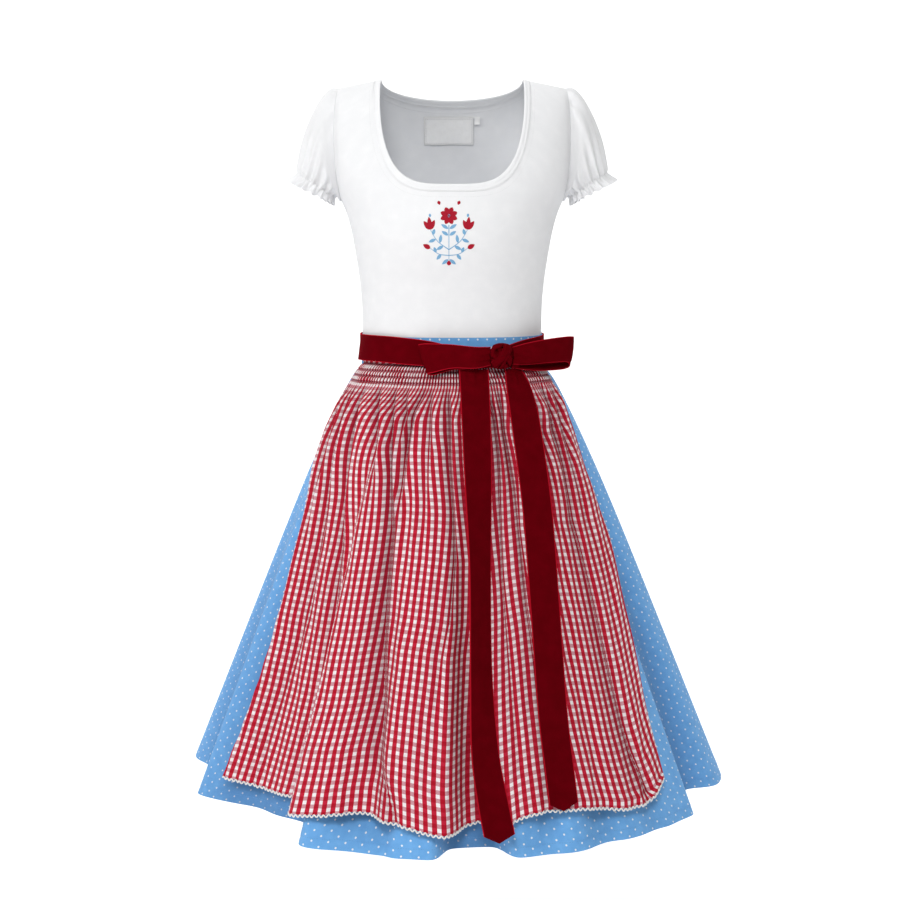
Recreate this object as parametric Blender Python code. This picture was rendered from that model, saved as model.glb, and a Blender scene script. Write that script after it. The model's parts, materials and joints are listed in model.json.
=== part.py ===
# Dirndl dress with apron, standing open as it is worn, in metres with +Z up and the front towards -Y.
# The origin is the middle of the shoulder line, where the wearer holds the dress up.

import math
from collections import namedtuple

import bmesh
import bpy
import numpy as np

# Cloth walls and the gaps between pieces
SEAM_GAP = 0.0003
LAYER_GAP = 0.0006
JERSEY = 0.0015
COTTON = 0.0015
VELVET = 0.0016
BINDING_THICKNESS = 0.0022
LABEL_THICKNESS = 0.0010

# Heights of the main lines
UNDERARM_Z = -0.174
WAIST_Z = -0.374
SKIRT_TOP_Z = -0.4063
HEM_Z = -1.025

# Neckline and shoulders
NECK_HALF_WIDTH = 0.1025
FRONT_NECK_DROP = 0.153
BACK_NECK_DROP = 0.025
BINDING_WIDTH = 0.009
FRONT_SCOOP, BACK_SCOOP = 24, 14
SHOULDER_TIP = 0.1635
SHOULDER_SLOPE = 0.20
CHEST_DEPTH = {-1: 0.124, 1: 0.109}
ARMHOLE_DEPTH = {-1: 0.052, 1: 0.058}
ARMHOLE_WIDENING = 0.0065
RING_POWER = 2.3

# Skirt
WAIST_HALF_WIDTH = 0.1335
WAIST_DEPTH = {-1: 0.0985, 1: 0.0925}
HEM_RADIUS = 0.405
FLARE_Z = -0.4160
RIBBON_PUFF, HIP_PUFF = 0.0055, 0.0160
WAIST_GATHERS = 28
WAIST_GATHER_DEPTH = 0.0016

# Apron
APRON_START, APRON_END = -76.0, 75.0
YOKE_TOP_Z, YOKE_BOTTOM_Z = -0.3970, -0.4430
YOKE_RIBS = 50
YOKE_WALL, RIB_HEIGHT = 0.0016, 0.0013
APRON_GATHERS = 24
APRON_GATHER_DEPTH = 0.0060
APRON_COLUMNS = 66
LACE_WIDTH = 0.0045

# Velvet ribbon
RIBBON_WIDTH = 0.042
KNOT_CENTRE_X, KNOT_CENTRE_Z = 0.070, -0.3985
KNOT_HALF_WIDTH, KNOT_HALF_HEIGHT, KNOT_DEPTH = 0.016, 0.0215, 0.017

TorsoSection = namedtuple("TorsoSection", "height half_width front back")
TORSO = (
    TorsoSection(WAIST_Z, 0.1320, 0.098, 0.090),
    TorsoSection(-0.327, 0.1325, 0.102, 0.088),
    TorsoSection(-0.291, 0.1355, 0.110, 0.090),
    TorsoSection(-0.247, 0.1420, 0.124, 0.098),
    TorsoSection(-0.215, 0.1480, 0.130, 0.104),
    TorsoSection(-0.189, 0.1555, 0.127, 0.108),
    TorsoSection(-0.174, 0.1620, 0.124, 0.109),
)

# Angles run round the dress in degrees from the front, positive towards +X.
# A valley is where the skirt folds in; hem_share is how much of its depth is left at the hem.
Valley = namedtuple("Valley", "start end start_softness end_softness depth hem_share")
SKIRT_VALLEYS = (
    Valley(-92.0, -72.0, 4.0, 1.6, 0.044, 1.0),
    Valley(-63.0, -32.5, 8.0, 1.6, 0.072, 1.0),
    Valley(-25.0, -12.0, 3.5, 1.2, 0.028, 0.30),
    Valley(-2.0, 10.5, 1.2, 1.2, 0.046, 1.0),
    Valley(17.0, 21.0, 1.8, 1.8, 0.016, 0.20),
    Valley(28.0, 34.0, 2.5, 2.0, 0.017, 0.55),
    Valley(41.0, 46.0, 2.5, 2.0, 0.014, 0.60),
    Valley(58.5, 73.0, 1.5, 2.2, 0.048, 1.0),
    Valley(96.0, 112.0, 3.0, 2.0, 0.050, 1.0),
    Valley(128.0, 142.0, 2.0, 4.0, 0.056, 1.0),
    Valley(155.0, 171.0, 4.0, 1.8, 0.050, 1.0),
    Valley(184.0, 199.0, 1.8, 3.0, 0.054, 1.0),
    Valley(213.0, 227.0, 3.0, 2.0, 0.058, 1.0),
    Valley(239.0, 251.0, 2.2, 3.0, 0.042, 1.0),
)

# The apron's side edges swing forward on the way down, and its hem rises towards the right.
ApronEdge = namedtuple("ApronEdge", "height left right")
APRON_EDGES = (
    ApronEdge(-0.443, -76.0, 75.0),
    ApronEdge(-0.510, -70.5, 68.5),
    ApronEdge(-0.600, -64.0, 66.0),
    ApronEdge(-0.690, -62.0, 62.5),
    ApronEdge(-0.780, -61.5, 56.0),
    ApronEdge(-0.870, -61.5, 51.5),
    ApronEdge(-0.985, -61.0, 48.0),
)
HemPoint = namedtuple("HemPoint", "angle height")
APRON_HEM = (
    HemPoint(-61.0, -0.985),
    HemPoint(-49.0, -0.990),
    HemPoint(-34.0, -0.987),
    HemPoint(-20.0, -0.977),
    HemPoint(-11.0, -0.981),
    HemPoint(-1.0, -0.993),
    HemPoint(8.0, -0.985),
    HemPoint(14.0, -0.973),
    HemPoint(25.0, -0.971),
    HemPoint(38.0, -0.984),
    HemPoint(43.0, -0.981),
    HemPoint(48.0, -0.961),
)

# Rows down each velvet tail: middle across and height, half width, and how far it is turned.
TailRow = namedtuple("TailRow", "x height half_width turn")
LEFT_TAIL = (
    TailRow(0.031, -0.4209, 0.0200, 0.0),
    TailRow(0.033, -0.470, 0.0200, 4.0),
    TailRow(0.034, -0.520, 0.0195, 12.0),
    TailRow(0.036, -0.660, 0.0195, 38.0),
    TailRow(0.037, -0.800, 0.0195, 38.0),
    TailRow(0.042, -0.895, 0.0200, 22.0),
    TailRow(0.053, -0.958, 0.0205, 10.0),
    TailRow(0.060, -0.990, 0.0205, 8.0),
)
RIGHT_TAIL = (
    TailRow(0.086, -0.4206, 0.0170, 0.0),
    TailRow(0.092, -0.455, 0.0190, 0.0),
    TailRow(0.101, -0.505, 0.0205, 0.0),
    TailRow(0.114, -0.610, 0.0210, 0.0),
    TailRow(0.124, -0.730, 0.0210, 6.0),
    TailRow(0.132, -0.850, 0.0205, 10.0),
    TailRow(0.140, -0.920, 0.0205, 6.0),
    TailRow(0.145, -0.960, 0.0205, 4.0),
)
TAIL_POINT = 0.011

# The ribbon round the waist drops towards the knot.
SashPoint = namedtuple("SashPoint", "angle top")
SASH = (
    SashPoint(-325.0, -0.3740),
    SashPoint(-295.0, -0.3700),
    SashPoint(-255.0, -0.3675),
    SashPoint(-180.0, -0.3665),
    SashPoint(-90.0, -0.3670),
    SashPoint(-40.0, -0.3680),
    SashPoint(-15.0, -0.3740),
    SashPoint(5.0, -0.3830),
    SashPoint(31.0, -0.3840),
)


def smooth_table(xs, ys, x):
    """Cubic through the rows of a table, with slopes from its neighbours."""
    xs, ys, x = np.asarray(xs, float), np.asarray(ys, float), np.asarray(x, float)
    slopes = np.gradient(ys, xs)
    k = np.clip(np.searchsorted(xs, x) - 1, 0, len(xs) - 2)
    step = xs[k + 1] - xs[k]
    t = np.clip((x - xs[k]) / step, 0.0, 1.0)
    return (
        (1 + 2 * t) * (1 - t) ** 2 * ys[k]
        + t * (1 - t) ** 2 * step * slopes[k]
        + t * t * (3 - 2 * t) * ys[k + 1]
        + t * t * (t - 1) * step * slopes[k + 1]
    )


def column(table, name):
    return [getattr(row, name) for row in table]


def smooth_step(low, high, x):
    t = np.clip((x - low) / (high - low), 0.0, 1.0)
    return t * t * (3 - 2 * t)


def ridge_height(x):
    """Height of the shoulder seam above a point across."""
    return -SHOULDER_SLOPE * np.maximum(np.abs(x) - NECK_HALF_WIDTH, 0.0)


def chest_half_width(height):
    rise = np.clip((height - UNDERARM_Z) / -UNDERARM_Z, 0.0, 1.0)
    underarm = TORSO[-1].half_width
    return underarm + (SHOULDER_TIP - underarm) * rise + 4 * ARMHOLE_WIDENING * rise * (1 - rise)


def bodice_surface(side, across, height):
    """Outer point of the bodice. side is -1 on the front and 1 on the back, across goes from -1 to 1."""
    across, height = np.broadcast_arrays(np.asarray(across, float), np.asarray(height, float))
    bulge = (1 - np.minimum(np.abs(across), 1.0) ** RING_POWER) ** (1 / RING_POWER)
    heights = column(TORSO, "height")
    low = np.minimum(height, UNDERARM_Z)
    torso_width = smooth_table(heights, column(TORSO, "half_width"), low)
    torso_depth = smooth_table(heights, column(TORSO, "front" if side < 0 else "back"), low)
    above = height > UNDERARM_Z
    x = np.where(above, chest_half_width(height), torso_width) * across
    rise = np.clip((height - UNDERARM_Z) / (ridge_height(x) - UNDERARM_Z), 0.0, 1.0)
    centre = CHEST_DEPTH[side] * (1 - rise**2.4) ** 0.55
    edge = ARMHOLE_DEPTH[side] * np.sqrt(4 * rise * (1 - rise))
    edge = np.minimum(edge, centre)
    depth = np.where(above, edge + (centre - edge) * bulge, torso_depth * bulge)
    return np.stack([x, side * depth, height], axis=-1)


def bodice_normal(side, x, height):
    """Outward normal of the bodice at a point across and a height, measured from just inside its edges."""
    small = 0.0004

    def depth(at_x, at_height):
        return bodice_surface(side, at_x / chest_half_width(at_height), at_height)[..., 1]

    inward = -np.sign(x) * small
    here = depth(x, height)
    slope_x = (depth(x + inward, height) - here) / np.where(inward == 0, 1.0, inward)
    slope_z = (here - depth(x, height - small)) / small
    normal = side * np.stack([-slope_x, np.ones_like(slope_x), -slope_z], axis=-1)
    return normal / np.linalg.norm(normal, axis=-1, keepdims=True)


def neckline_height(side, x, beyond):
    """Height of the neckline at x, for an edge that lies beyond the cut neckline by that much."""
    half_width = NECK_HALF_WIDTH + beyond
    share = np.minimum(np.abs(x) / half_width, 1.0)
    if side < 0:
        curve = (1 - share**3.8) ** (1 / 2.7)
        drop = FRONT_NECK_DROP + beyond
    else:
        curve = np.sqrt(1 - share**2)
        drop = BACK_NECK_DROP + beyond
    return ridge_height(half_width) - drop * curve


def grid_normals(points, closed):
    """Unit normals of a grid of points, rows by columns."""
    if closed:
        along = np.roll(points, -1, axis=1) - np.roll(points, 1, axis=1)
    else:
        along = np.gradient(points, axis=1)
    down = np.gradient(points, axis=0)
    normal = np.cross(along, down)
    return normal / np.linalg.norm(normal, axis=-1, keepdims=True)


def outward(normals, points, centre):
    """The same normals, all turned to point away from the centre."""
    away = np.sum(normals * (points - np.asarray(centre)), axis=-1).mean()
    return normals if away > 0 else -normals


def quad_rows(count_rows, count_columns, first, closed):
    """Faces of a grid whose first vertex has that index."""
    columns = count_columns if closed else count_columns - 1
    for r in range(count_rows - 1):
        for c in range(columns):
            nxt = (c + 1) % count_columns
            a = first + r * count_columns
            b = a + count_columns
            yield (a + c, a + nxt, b + nxt, b + c)


def wall(name, outer, inner, material, closed=False):
    """One closed solid between an outer and an inner grid, which have the same number of columns."""
    outer, inner = np.asarray(outer), np.asarray(inner)
    rows, columns = outer.shape[:2]
    inner_rows = inner.shape[0]
    start = rows * columns
    faces = list(quad_rows(rows, columns, 0, closed))
    faces += [tuple(reversed(f)) for f in quad_rows(inner_rows, columns, start, closed)]
    last_outer, last_inner = (rows - 1) * columns, start + (inner_rows - 1) * columns
    for c in range(columns if closed else columns - 1):
        nxt = (c + 1) % columns
        faces.append((c, start + c, start + nxt, nxt))
        faces.append((last_outer + c, last_outer + nxt, last_inner + nxt, last_inner + c))
    if not closed:
        for c in (0, columns - 1):
            if rows == inner_rows:
                for r in range(rows - 1):
                    a, b = r * columns + c, (r + 1) * columns + c
                    faces.append((a, b, start + b, start + a))
            else:
                down = [r * columns + c for r in range(rows)]
                up = [start + r * columns + c for r in reversed(range(inner_rows))]
                faces.append(tuple(down + up))
    vertices = [tuple(p) for p in np.concatenate([outer.reshape(-1, 3), inner.reshape(-1, 3)])]
    return solid(name, vertices, faces, material)


def solid(name, vertices, faces, material):
    mesh = bpy.data.meshes.new(name)
    mesh.from_pydata(vertices, [], faces)
    work = bmesh.new()
    work.from_mesh(mesh)
    bmesh.ops.recalc_face_normals(work, faces=work.faces)
    if work.calc_volume(signed=True) < 0:
        bmesh.ops.reverse_faces(work, faces=work.faces)
    work.to_mesh(mesh)
    work.free()
    mesh.shade_smooth()
    mesh.set_sharp_from_angle(angle=math.radians(50))
    mesh.materials.append(material)
    made = bpy.data.objects.new(name, mesh)
    bpy.context.scene.collection.objects.link(made)
    return made


def finish_material(name, colour, roughness):
    material = bpy.data.materials.new(name)
    material.use_nodes = True
    shader = material.node_tree.nodes["Principled BSDF"]
    shader.inputs["Base Color"].default_value = (*colour, 1.0)
    shader.inputs["Roughness"].default_value = roughness
    shader.inputs["Metallic"].default_value = 0.0
    material.diffuse_color = (*colour, 1.0)
    return material


def polar(radius, around, height):
    """Point at a radius and an angle round the dress, in degrees from the front."""
    angle = np.radians(around)
    radius, angle, height = np.broadcast_arrays(radius, angle, height)
    return np.stack([radius * np.sin(angle), -radius * np.cos(angle), height], axis=-1)


def ring_radius(around, half_width, front, back):
    """Radius of a rounded body section at an angle."""
    angle = np.radians(around)
    depth = np.where(np.cos(angle) > 0, front, back)
    across = np.abs(np.sin(angle) / half_width) ** RING_POWER
    return (across + np.abs(np.cos(angle) / depth) ** RING_POWER) ** (-1 / RING_POWER)


def waist_radius(around):
    return ring_radius(around, WAIST_HALF_WIDTH, WAIST_DEPTH[-1], WAIST_DEPTH[1])


def torso_radius(around, height):
    heights = column(TORSO, "height")
    sizes = [smooth_table(heights, column(TORSO, n), height) for n in ("half_width", "front", "back")]
    return ring_radius(around, *sizes)


def fold_depth(around, drop):
    """How far the skirt is folded in at an angle, where drop goes from 0 at its top to 1 at its hem."""
    total = np.zeros(np.broadcast(around, drop).shape)
    for valley in SKIRT_VALLEYS:
        middle = (valley.start + valley.end) / 2
        near = (np.asarray(around) - middle + 180) % 360 - 180 + middle
        shape = (1 + np.tanh((near - valley.start) / valley.start_softness)) / 2
        shape = shape * (1 + np.tanh((valley.end - near) / valley.end_softness)) / 2
        kept = 1 - (1 - valley.hem_share) * smooth_step(0.93, 1.0, drop)
        total = total + valley.depth * shape * kept
    return total * np.asarray(drop) ** 1.15


def skirt_radius(around, height):
    """Outer radius of the skirt."""
    drop = np.clip((FLARE_Z - height) / (FLARE_Z - HEM_Z), 0.0, 1.0)
    top = waist_radius(around)
    puff = RIBBON_PUFF * (1 - np.exp(-drop / 0.012)) + HIP_PUFF * (1 - np.exp(-drop / 0.15))
    gathers = WAIST_GATHER_DEPTH * np.cos(WAIST_GATHERS * np.radians(around))
    gathers = gathers * (1 - np.exp(-drop / 0.012)) * np.exp(-drop / 0.12)
    cone = top + (HEM_RADIUS - top) * drop + puff * (1 - drop)
    return cone + gathers - fold_depth(around, drop)


TABLE_ANGLES = np.arange(-180.0, 180.0, 0.5)
TABLE_HEIGHTS = np.linspace(-0.360, -1.040, 171)


def tabulated(radius):
    """A table of radii over the whole way round and down, from a function of angle and height."""
    around, height = np.meshgrid(TABLE_ANGLES, TABLE_HEIGHTS)
    return radius(around, height)


def look_up(table, around, height):
    """Radius from a table, blended between its nearest rows and columns."""
    turn = ((np.asarray(around) + 180.0) % 360.0) / 0.5
    step = TABLE_HEIGHTS[0] - TABLE_HEIGHTS[1]
    level = np.clip((TABLE_HEIGHTS[0] - np.asarray(height)) / step, 0, len(TABLE_HEIGHTS) - 1.001)
    turn, level = np.broadcast_arrays(turn, level)
    c, r = np.floor(turn).astype(int), np.floor(level).astype(int)
    u, v = turn - c, level - r
    c, after = c % len(TABLE_ANGLES), (c + 1) % len(TABLE_ANGLES)
    upper = table[r, c] * (1 - u) + table[r, after] * u
    lower = table[r + 1, c] * (1 - u) + table[r + 1, after] * u
    return upper * (1 - v) + lower * v


def laid_over(table, reach, rise, soften):
    """Radii of a cloth over that table: the widest within its reach all round, then softened."""
    wide = table
    for shift in range(-reach, reach + 1):
        wide = np.maximum(wide, np.roll(table, shift, axis=1))
    tall = wide
    for shift in range(1, rise + 1):
        tall = np.maximum(tall, np.concatenate([wide[shift:], wide[-shift:]]))
        tall = np.maximum(tall, np.concatenate([wide[:shift], wide[:-shift]]))
    shifts = range(-soften, soften + 1)
    return sum(np.roll(tall, shift, axis=1) for shift in shifts) / len(shifts) + LAYER_GAP


def body_radius(around, height):
    """Outer radius of the bodice, waistband or skirt, whichever is there."""
    body = np.where(height > WAIST_Z, torso_radius(around, height), waist_radius(around))
    return np.where(height < SKIRT_TOP_Z, skirt_radius(around, height), body)


UNDER_APRON = laid_over(tabulated(body_radius), reach=6, rise=2, soften=2)


def apron_inner(around, height):
    return look_up(UNDER_APRON, around, height) + 0.0016 * smooth_step(-0.46, -0.60, height)


def apron_gathers(around, height):
    """Outward gathers under the yoke, which run out towards the hem."""
    drop = (YOKE_BOTTOM_Z - height) / (YOKE_BOTTOM_Z + 0.98)
    drop = np.clip(drop, 0.0, 1.0)
    turn = np.radians(around)
    wave = 0.62 * np.cos(APRON_GATHERS * 2.1 * turn + 0.6) + 0.38 * np.cos(APRON_GATHERS * 1.23 * turn + 2.0)
    return APRON_GATHER_DEPTH * (0.5 + 0.5 * wave) * (1 - np.exp(-drop / 0.03)) * np.exp(-drop / 0.30)


def apron_outer(around, height):
    return apron_inner(around, height) + COTTON + apron_gathers(around, height)


def yoke_outer(around, height):
    return apron_inner(around, height) + YOKE_WALL + RIB_HEIGHT


def under_sash_radius(around, height):
    """Outermost cloth where the velvet ribbon goes round the waist."""
    on_yoke = (around > APRON_START - 4) & (around < APRON_END + 4) & (height < YOKE_TOP_Z + 0.002)
    return np.where(on_yoke, yoke_outer(around, height), body_radius(around, height))


def sash_top(around):
    near = np.where(np.asarray(around) > 33, np.asarray(around) - 360, around)
    return smooth_table(column(SASH, "angle"), column(SASH, "top"), near)


UNDER_SASH = laid_over(tabulated(under_sash_radius), reach=6, rise=0, soften=4)


def sash_leans():
    """Radius at the ribbon's top edge and how much wider its bottom edge is, at each table angle."""
    top = sash_top(TABLE_ANGLES)
    shares = np.linspace(0, 1, 15)[:, None]
    under = look_up(UNDER_SASH, TABLE_ANGLES, top - RIBBON_WIDTH * shares)
    first = under[:6].max(axis=0)
    wider = np.maximum((under[6:] - first) / shares[6:], 0.0).max(axis=0)
    edges = np.stack([first, first + wider])
    wide = np.max([np.roll(edges, shift, axis=1) for shift in range(-4, 5)], axis=0)
    edges = sum(np.roll(wide, shift, axis=1) for shift in range(-4, 5)) / 9
    return edges[0], edges[1] - edges[0]


SASH_TOP_RADIUS, SASH_FLARE = sash_leans()


def sash_inner(around, height):
    """Inner radius of the ribbon, which lies straight from its top edge to its bottom edge."""
    turn = (np.asarray(around) + 180.0) % 360.0 - 180.0
    angles = np.append(TABLE_ANGLES, 180.0)
    first = np.interp(turn, angles, np.append(SASH_TOP_RADIUS, SASH_TOP_RADIUS[0]))
    flare = np.interp(turn, angles, np.append(SASH_FLARE, SASH_FLARE[0]))
    return first + flare * np.clip((sash_top(around) - height) / RIBBON_WIDTH, 0.0, 1.0)


def under_tails_radius(around, height):
    """Outermost cloth in front, for the velvet bow and its tails."""
    apron = np.where(height < YOKE_BOTTOM_Z, apron_outer(around, height), yoke_outer(around, height))
    top = sash_top(around)
    on_sash = (height < top + 0.004) & (height > top - RIBBON_WIDTH - 0.004)
    ribbon = sash_inner(around, np.clip(height, top - RIBBON_WIDTH, top)) + VELVET
    return np.where(on_sash, np.maximum(ribbon, apron), apron)


UNDER_BOW = tabulated(under_tails_radius)


def front_of(x, height):
    """How far in front of the origin the cloth under the bow reaches, at x and that height."""
    radius = np.full(np.broadcast(x, height).shape, 0.13)
    for _ in range(8):
        around = np.degrees(np.arcsin(np.clip(x / radius, -0.99, 0.99)))
        radius = (radius + look_up(UNDER_BOW, around, height)) / 2
    return radius * np.cos(np.arcsin(np.clip(x / radius, -0.99, 0.99)))


def bodice_panel(name, side, material, scoop_steps, strap_steps, low_rows, high_rows):
    """Front or back of the bodice, from the waist up to the neckline, shoulder seams and armholes."""
    beyond = BINDING_WIDTH + 2 * SEAM_GAP
    neck = NECK_HALF_WIDTH + beyond
    scoop = neck * np.sin(np.linspace(-math.pi / 2, math.pi / 2, scoop_steps + 1))
    strap = np.linspace(neck, SHOULDER_TIP, strap_steps + 1)[1:]
    x_top = np.concatenate([-strap[::-1], scoop, strap])
    z_top = np.where(np.abs(x_top) <= neck, neckline_height(side, x_top, beyond), ridge_height(x_top))
    across = np.clip(x_top / chest_half_width(z_top), -1, 1)
    across[0], across[-1] = -1.0, 1.0
    lower = np.linspace(WAIST_Z, UNDERARM_Z, low_rows + 1)
    rise = 1 - (1 - np.linspace(0, 1, high_rows + 1)[1:]) ** 1.6
    heights = [np.full(len(x_top), z) for z in lower]
    heights += [UNDERARM_Z + (z_top - UNDERARM_Z) * r for r in rise]
    outer = bodice_surface(side, across[None, :], np.array(heights))
    normals = outward(grid_normals(outer, closed=False), outer, (0, 0, UNDERARM_Z))
    scooped = np.abs(x_top) < neck + 1e-9
    normals[-1, scooped] = bodice_normal(side, x_top[scooped], z_top[scooped])
    seam = np.zeros(normals.shape[:2], bool)
    seam[:, 0] = seam[:, -1] = True
    seam[-1, np.abs(x_top) > neck - 1e-9] = True
    on_fold = seam & (np.abs(outer[..., 1]) < 1e-6)
    normals[on_fold, 1] = 0.0
    normals /= np.linalg.norm(normals, axis=-1, keepdims=True)
    shift = np.array([0.0, side * SEAM_GAP / 2, 0.0])
    return wall(name, outer + shift, outer - JERSEY * normals + shift, material)


def neck_binding(material, front_steps, back_steps):
    """Self binding round the neckline, one closed ring with the same columns as the panels."""
    rows, leans = [], []
    for beyond in (0.0, BINDING_WIDTH / 2, BINDING_WIDTH):
        ring, lean = [], []
        for side, steps in ((-1, front_steps), (1, back_steps)):
            turn = np.linspace(-math.pi / 2, math.pi / 2, steps + 1)[:-1]
            x = (NECK_HALF_WIDTH + beyond) * np.sin(turn) * -side
            z = neckline_height(side, x, beyond)
            ring.append(bodice_surface(side, x / chest_half_width(z), z))
            lean.append(bodice_normal(side, x, z))
        rows.append(np.concatenate(ring))
        leans.append(np.concatenate(lean))
    outer, normals = np.array(rows), np.array(leans)
    proud = (BINDING_THICKNESS - JERSEY) / 2
    inner = outer - (JERSEY + proud) * normals
    return wall("neck_binding", outer + proud * normals, inner, material, closed=True)


SLEEVE_WAVES = 12
SLEEVE_COLUMNS = 4 * SLEEVE_WAVES
CUFF_CENTRE = np.array([0.1978, 0.003, -0.150])
CUFF_ACROSS = np.array([0.0258, 0.0, 0.0180])
CUFF_DEPTH = 0.052
CUFF_AXIS = np.array([0.572, 0.0, -0.820])
FRILL_LENGTH = 0.019


def sleeve(name, hand, material):
    """Short puff sleeve with a gathered cap, an elastic cuff and its frill. hand is -1 on the view's left."""
    turn = np.linspace(0, 2 * math.pi, SLEEVE_COLUMNS, endpoint=False)
    rise = (1 + np.cos(turn)) / 2
    front = np.sin(turn) > 0
    edge = np.where(front, -ARMHOLE_DEPTH[-1], ARMHOLE_DEPTH[1]) * np.sqrt(4 * rise * (1 - rise))
    tip_z = ridge_height(SHOULDER_TIP)
    height = UNDERARM_Z + (tip_z - UNDERARM_Z) * rise
    armhole = np.stack([chest_half_width(height) + SEAM_GAP + 0.0002, edge, height], axis=-1)
    radial = np.cos(turn)[:, None] * CUFF_ACROSS / np.linalg.norm(CUFF_ACROSS)
    radial = radial - np.sin(turn)[:, None] * np.array([0.0, 1.0, 0.0])
    cuff = CUFF_CENTRE + np.cos(turn)[:, None] * CUFF_ACROSS
    cuff = cuff - (CUFF_DEPTH * np.sin(turn))[:, None] * np.array([0.0, 1.0, 0.0])
    size = (0.20 + 0.80 * rise)[:, None]
    leave = np.stack([0.030 + 0 * rise, -0.016 * np.sin(turn), 0.018 * rise - 0.016], axis=-1)
    first = armhole + leave * size
    second = cuff - 0.040 * size * CUFF_AXIS + 0.025 * size * radial
    wave = np.cos(SLEEVE_WAVES * turn)
    rows = []
    for w in (0.0, 0.08, 0.24, 0.46, 0.70, 0.90, 1.0):
        curve = (1 - w) ** 3 * armhole + 3 * w * (1 - w) ** 2 * first
        curve = curve + 3 * w * w * (1 - w) * second + w**3 * cuff
        cap = 0.0020 * smooth_step(0.0, 0.10, w) * math.exp(-w / 0.30) * np.clip(np.cos(turn), 0, 1)
        gathered = 0.0022 * smooth_step(0.45, 0.95, w) * (0.35 + 0.65 * rise)
        rows.append(curve + (wave * (cap + gathered))[:, None] * radial)
    for share, swing, flare in ((0.5, 0.0022, 0.001), (1.0, 0.0042, 0.004)):
        low_side = 0.55 + 0.45 * rise
        drop = cuff + (FRILL_LENGTH * share * low_side)[:, None] * CUFF_AXIS
        rows.append(drop + (flare * low_side + swing * wave)[:, None] * radial)
    outer = np.array(rows) * np.array([hand, 1.0, 1.0])
    inside = CUFF_CENTRE * np.array([hand, 1.0, 0.75])
    normals = outward(grid_normals(outer, closed=True), outer, inside)
    inner = (outer - JERSEY * normals)[[0, 2, 4, 5, 6, 7, 8]]
    return wall(name, outer, inner, material, closed=True)


def neck_label(material):
    """Woven label on the inside of the back, and the small size tab beside it. Both are blank."""
    pieces = (
        ("neck_label", 0.0755, 0.0420, -0.0047, -0.0670, 4, 3),
        ("size_tab", 0.0080, 0.0100, 0.0380, -0.0520, 2, 2),
    )
    for name, width, tall, x_mid, z_mid, steps, levels in pieces:
        x = np.linspace(x_mid - width / 2, x_mid + width / 2, steps)
        z = np.linspace(z_mid - tall / 2, z_mid + tall / 2, levels)
        x, z = np.meshgrid(x, z)
        back = bodice_surface(1, x / chest_half_width(z), z)
        normals = outward(grid_normals(back, closed=False), back, (0, 0, z_mid))
        near = back - (JERSEY + 3 * SEAM_GAP) * normals
        wall(name, near, near - LABEL_THICKNESS * normals, material)


def skirt_waistband(material, steps):
    around = np.linspace(-180, 180, steps, endpoint=False)
    heights = np.array([WAIST_Z - SEAM_GAP, SKIRT_TOP_Z + SEAM_GAP])[:, None]
    outer = polar(waist_radius(around)[None, :], around[None, :], heights)
    inner = polar(waist_radius(around)[None, :] - COTTON, around[None, :], heights)
    return wall("skirt_waistband", outer, inner, material, closed=True)


def even_columns(radius_at, start, end, steps):
    """Angles that split the curve of radii into pieces of equal length."""
    dense = np.linspace(start, end, 1441)
    path = polar(radius_at(dense), dense, 0.0)
    length = np.concatenate([[0.0], np.cumsum(np.linalg.norm(np.diff(path, axis=0), axis=1))])
    return np.interp(np.linspace(0, length[-1], steps + 1), length, dense)


def skirt_panel(name, start, end, material, steps):
    """Half of the skirt between its side seams."""
    around = even_columns(lambda a: skirt_radius(a, HEM_Z), start, end, steps)
    drop = np.array([0.0, 0.020, 0.095, 0.26, 0.55, 0.93, 1.0])
    heights = np.concatenate([[SKIRT_TOP_Z], FLARE_Z + (HEM_Z - FLARE_Z) * drop])[:, None]
    outer = polar(skirt_radius(around[None, :], heights), around[None, :], heights)
    normals = outward(grid_normals(outer, closed=False), outer, (0, 0, HEM_Z / 2))
    normals[:, [0, -1], 1] = 0.0
    normals /= np.linalg.norm(normals, axis=-1, keepdims=True)
    inner = outer - COTTON * normals
    inner[0, :, 2], inner[-1, :, 2] = outer[0, :, 2], outer[-1, :, 2]
    shift = np.array([0.0, -SEAM_GAP / 2 if start < 0 else SEAM_GAP / 2, 0.0])
    return wall(name, outer + shift, inner + shift, material)


def apron_yoke(material):
    """Shirred band at the top of the apron: ribs between four stitched lines, over a plain inside."""
    around = np.linspace(APRON_START, APRON_END, 2 * YOKE_RIBS + 1)
    crest = (np.arange(len(around)) % 2).astype(float)
    puffs = (0.55, 0.0, 1.0, 0.0, 1.0, 0.0, 1.0)
    shares = (0.0, 0.22, 0.36, 0.50, 0.63, 0.77, 1.0)
    rows = []
    for puff, share in zip(puffs, shares):
        height = YOKE_TOP_Z + (YOKE_BOTTOM_Z - YOKE_TOP_Z) * share
        raised = RIB_HEIGHT * crest * (0.25 + 0.75 * puff)
        rows.append(polar(apron_inner(around, height) + YOKE_WALL + raised, around, height))
    levels = [YOKE_TOP_Z + (YOKE_BOTTOM_Z - YOKE_TOP_Z) * share for share in (0.0, 0.22, 0.50, 0.77, 1.0)]
    inner = [polar(apron_inner(around, z), around, z) for z in levels]
    return wall("apron_yoke", np.array(rows), np.array(inner), material)


def apron_span(height):
    """The apron's left and right edge angles at a height."""
    heights = column(APRON_EDGES, "height")[::-1]
    return [smooth_table(heights, column(APRON_EDGES, n)[::-1], height) for n in ("left", "right")]


def apron_columns(steps):
    hem = even_columns(lambda a: apron_outer(a, -0.97), APRON_EDGES[-1].left, APRON_EDGES[-1].right, steps)
    return (hem - hem[0]) / (hem[-1] - hem[0])


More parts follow.
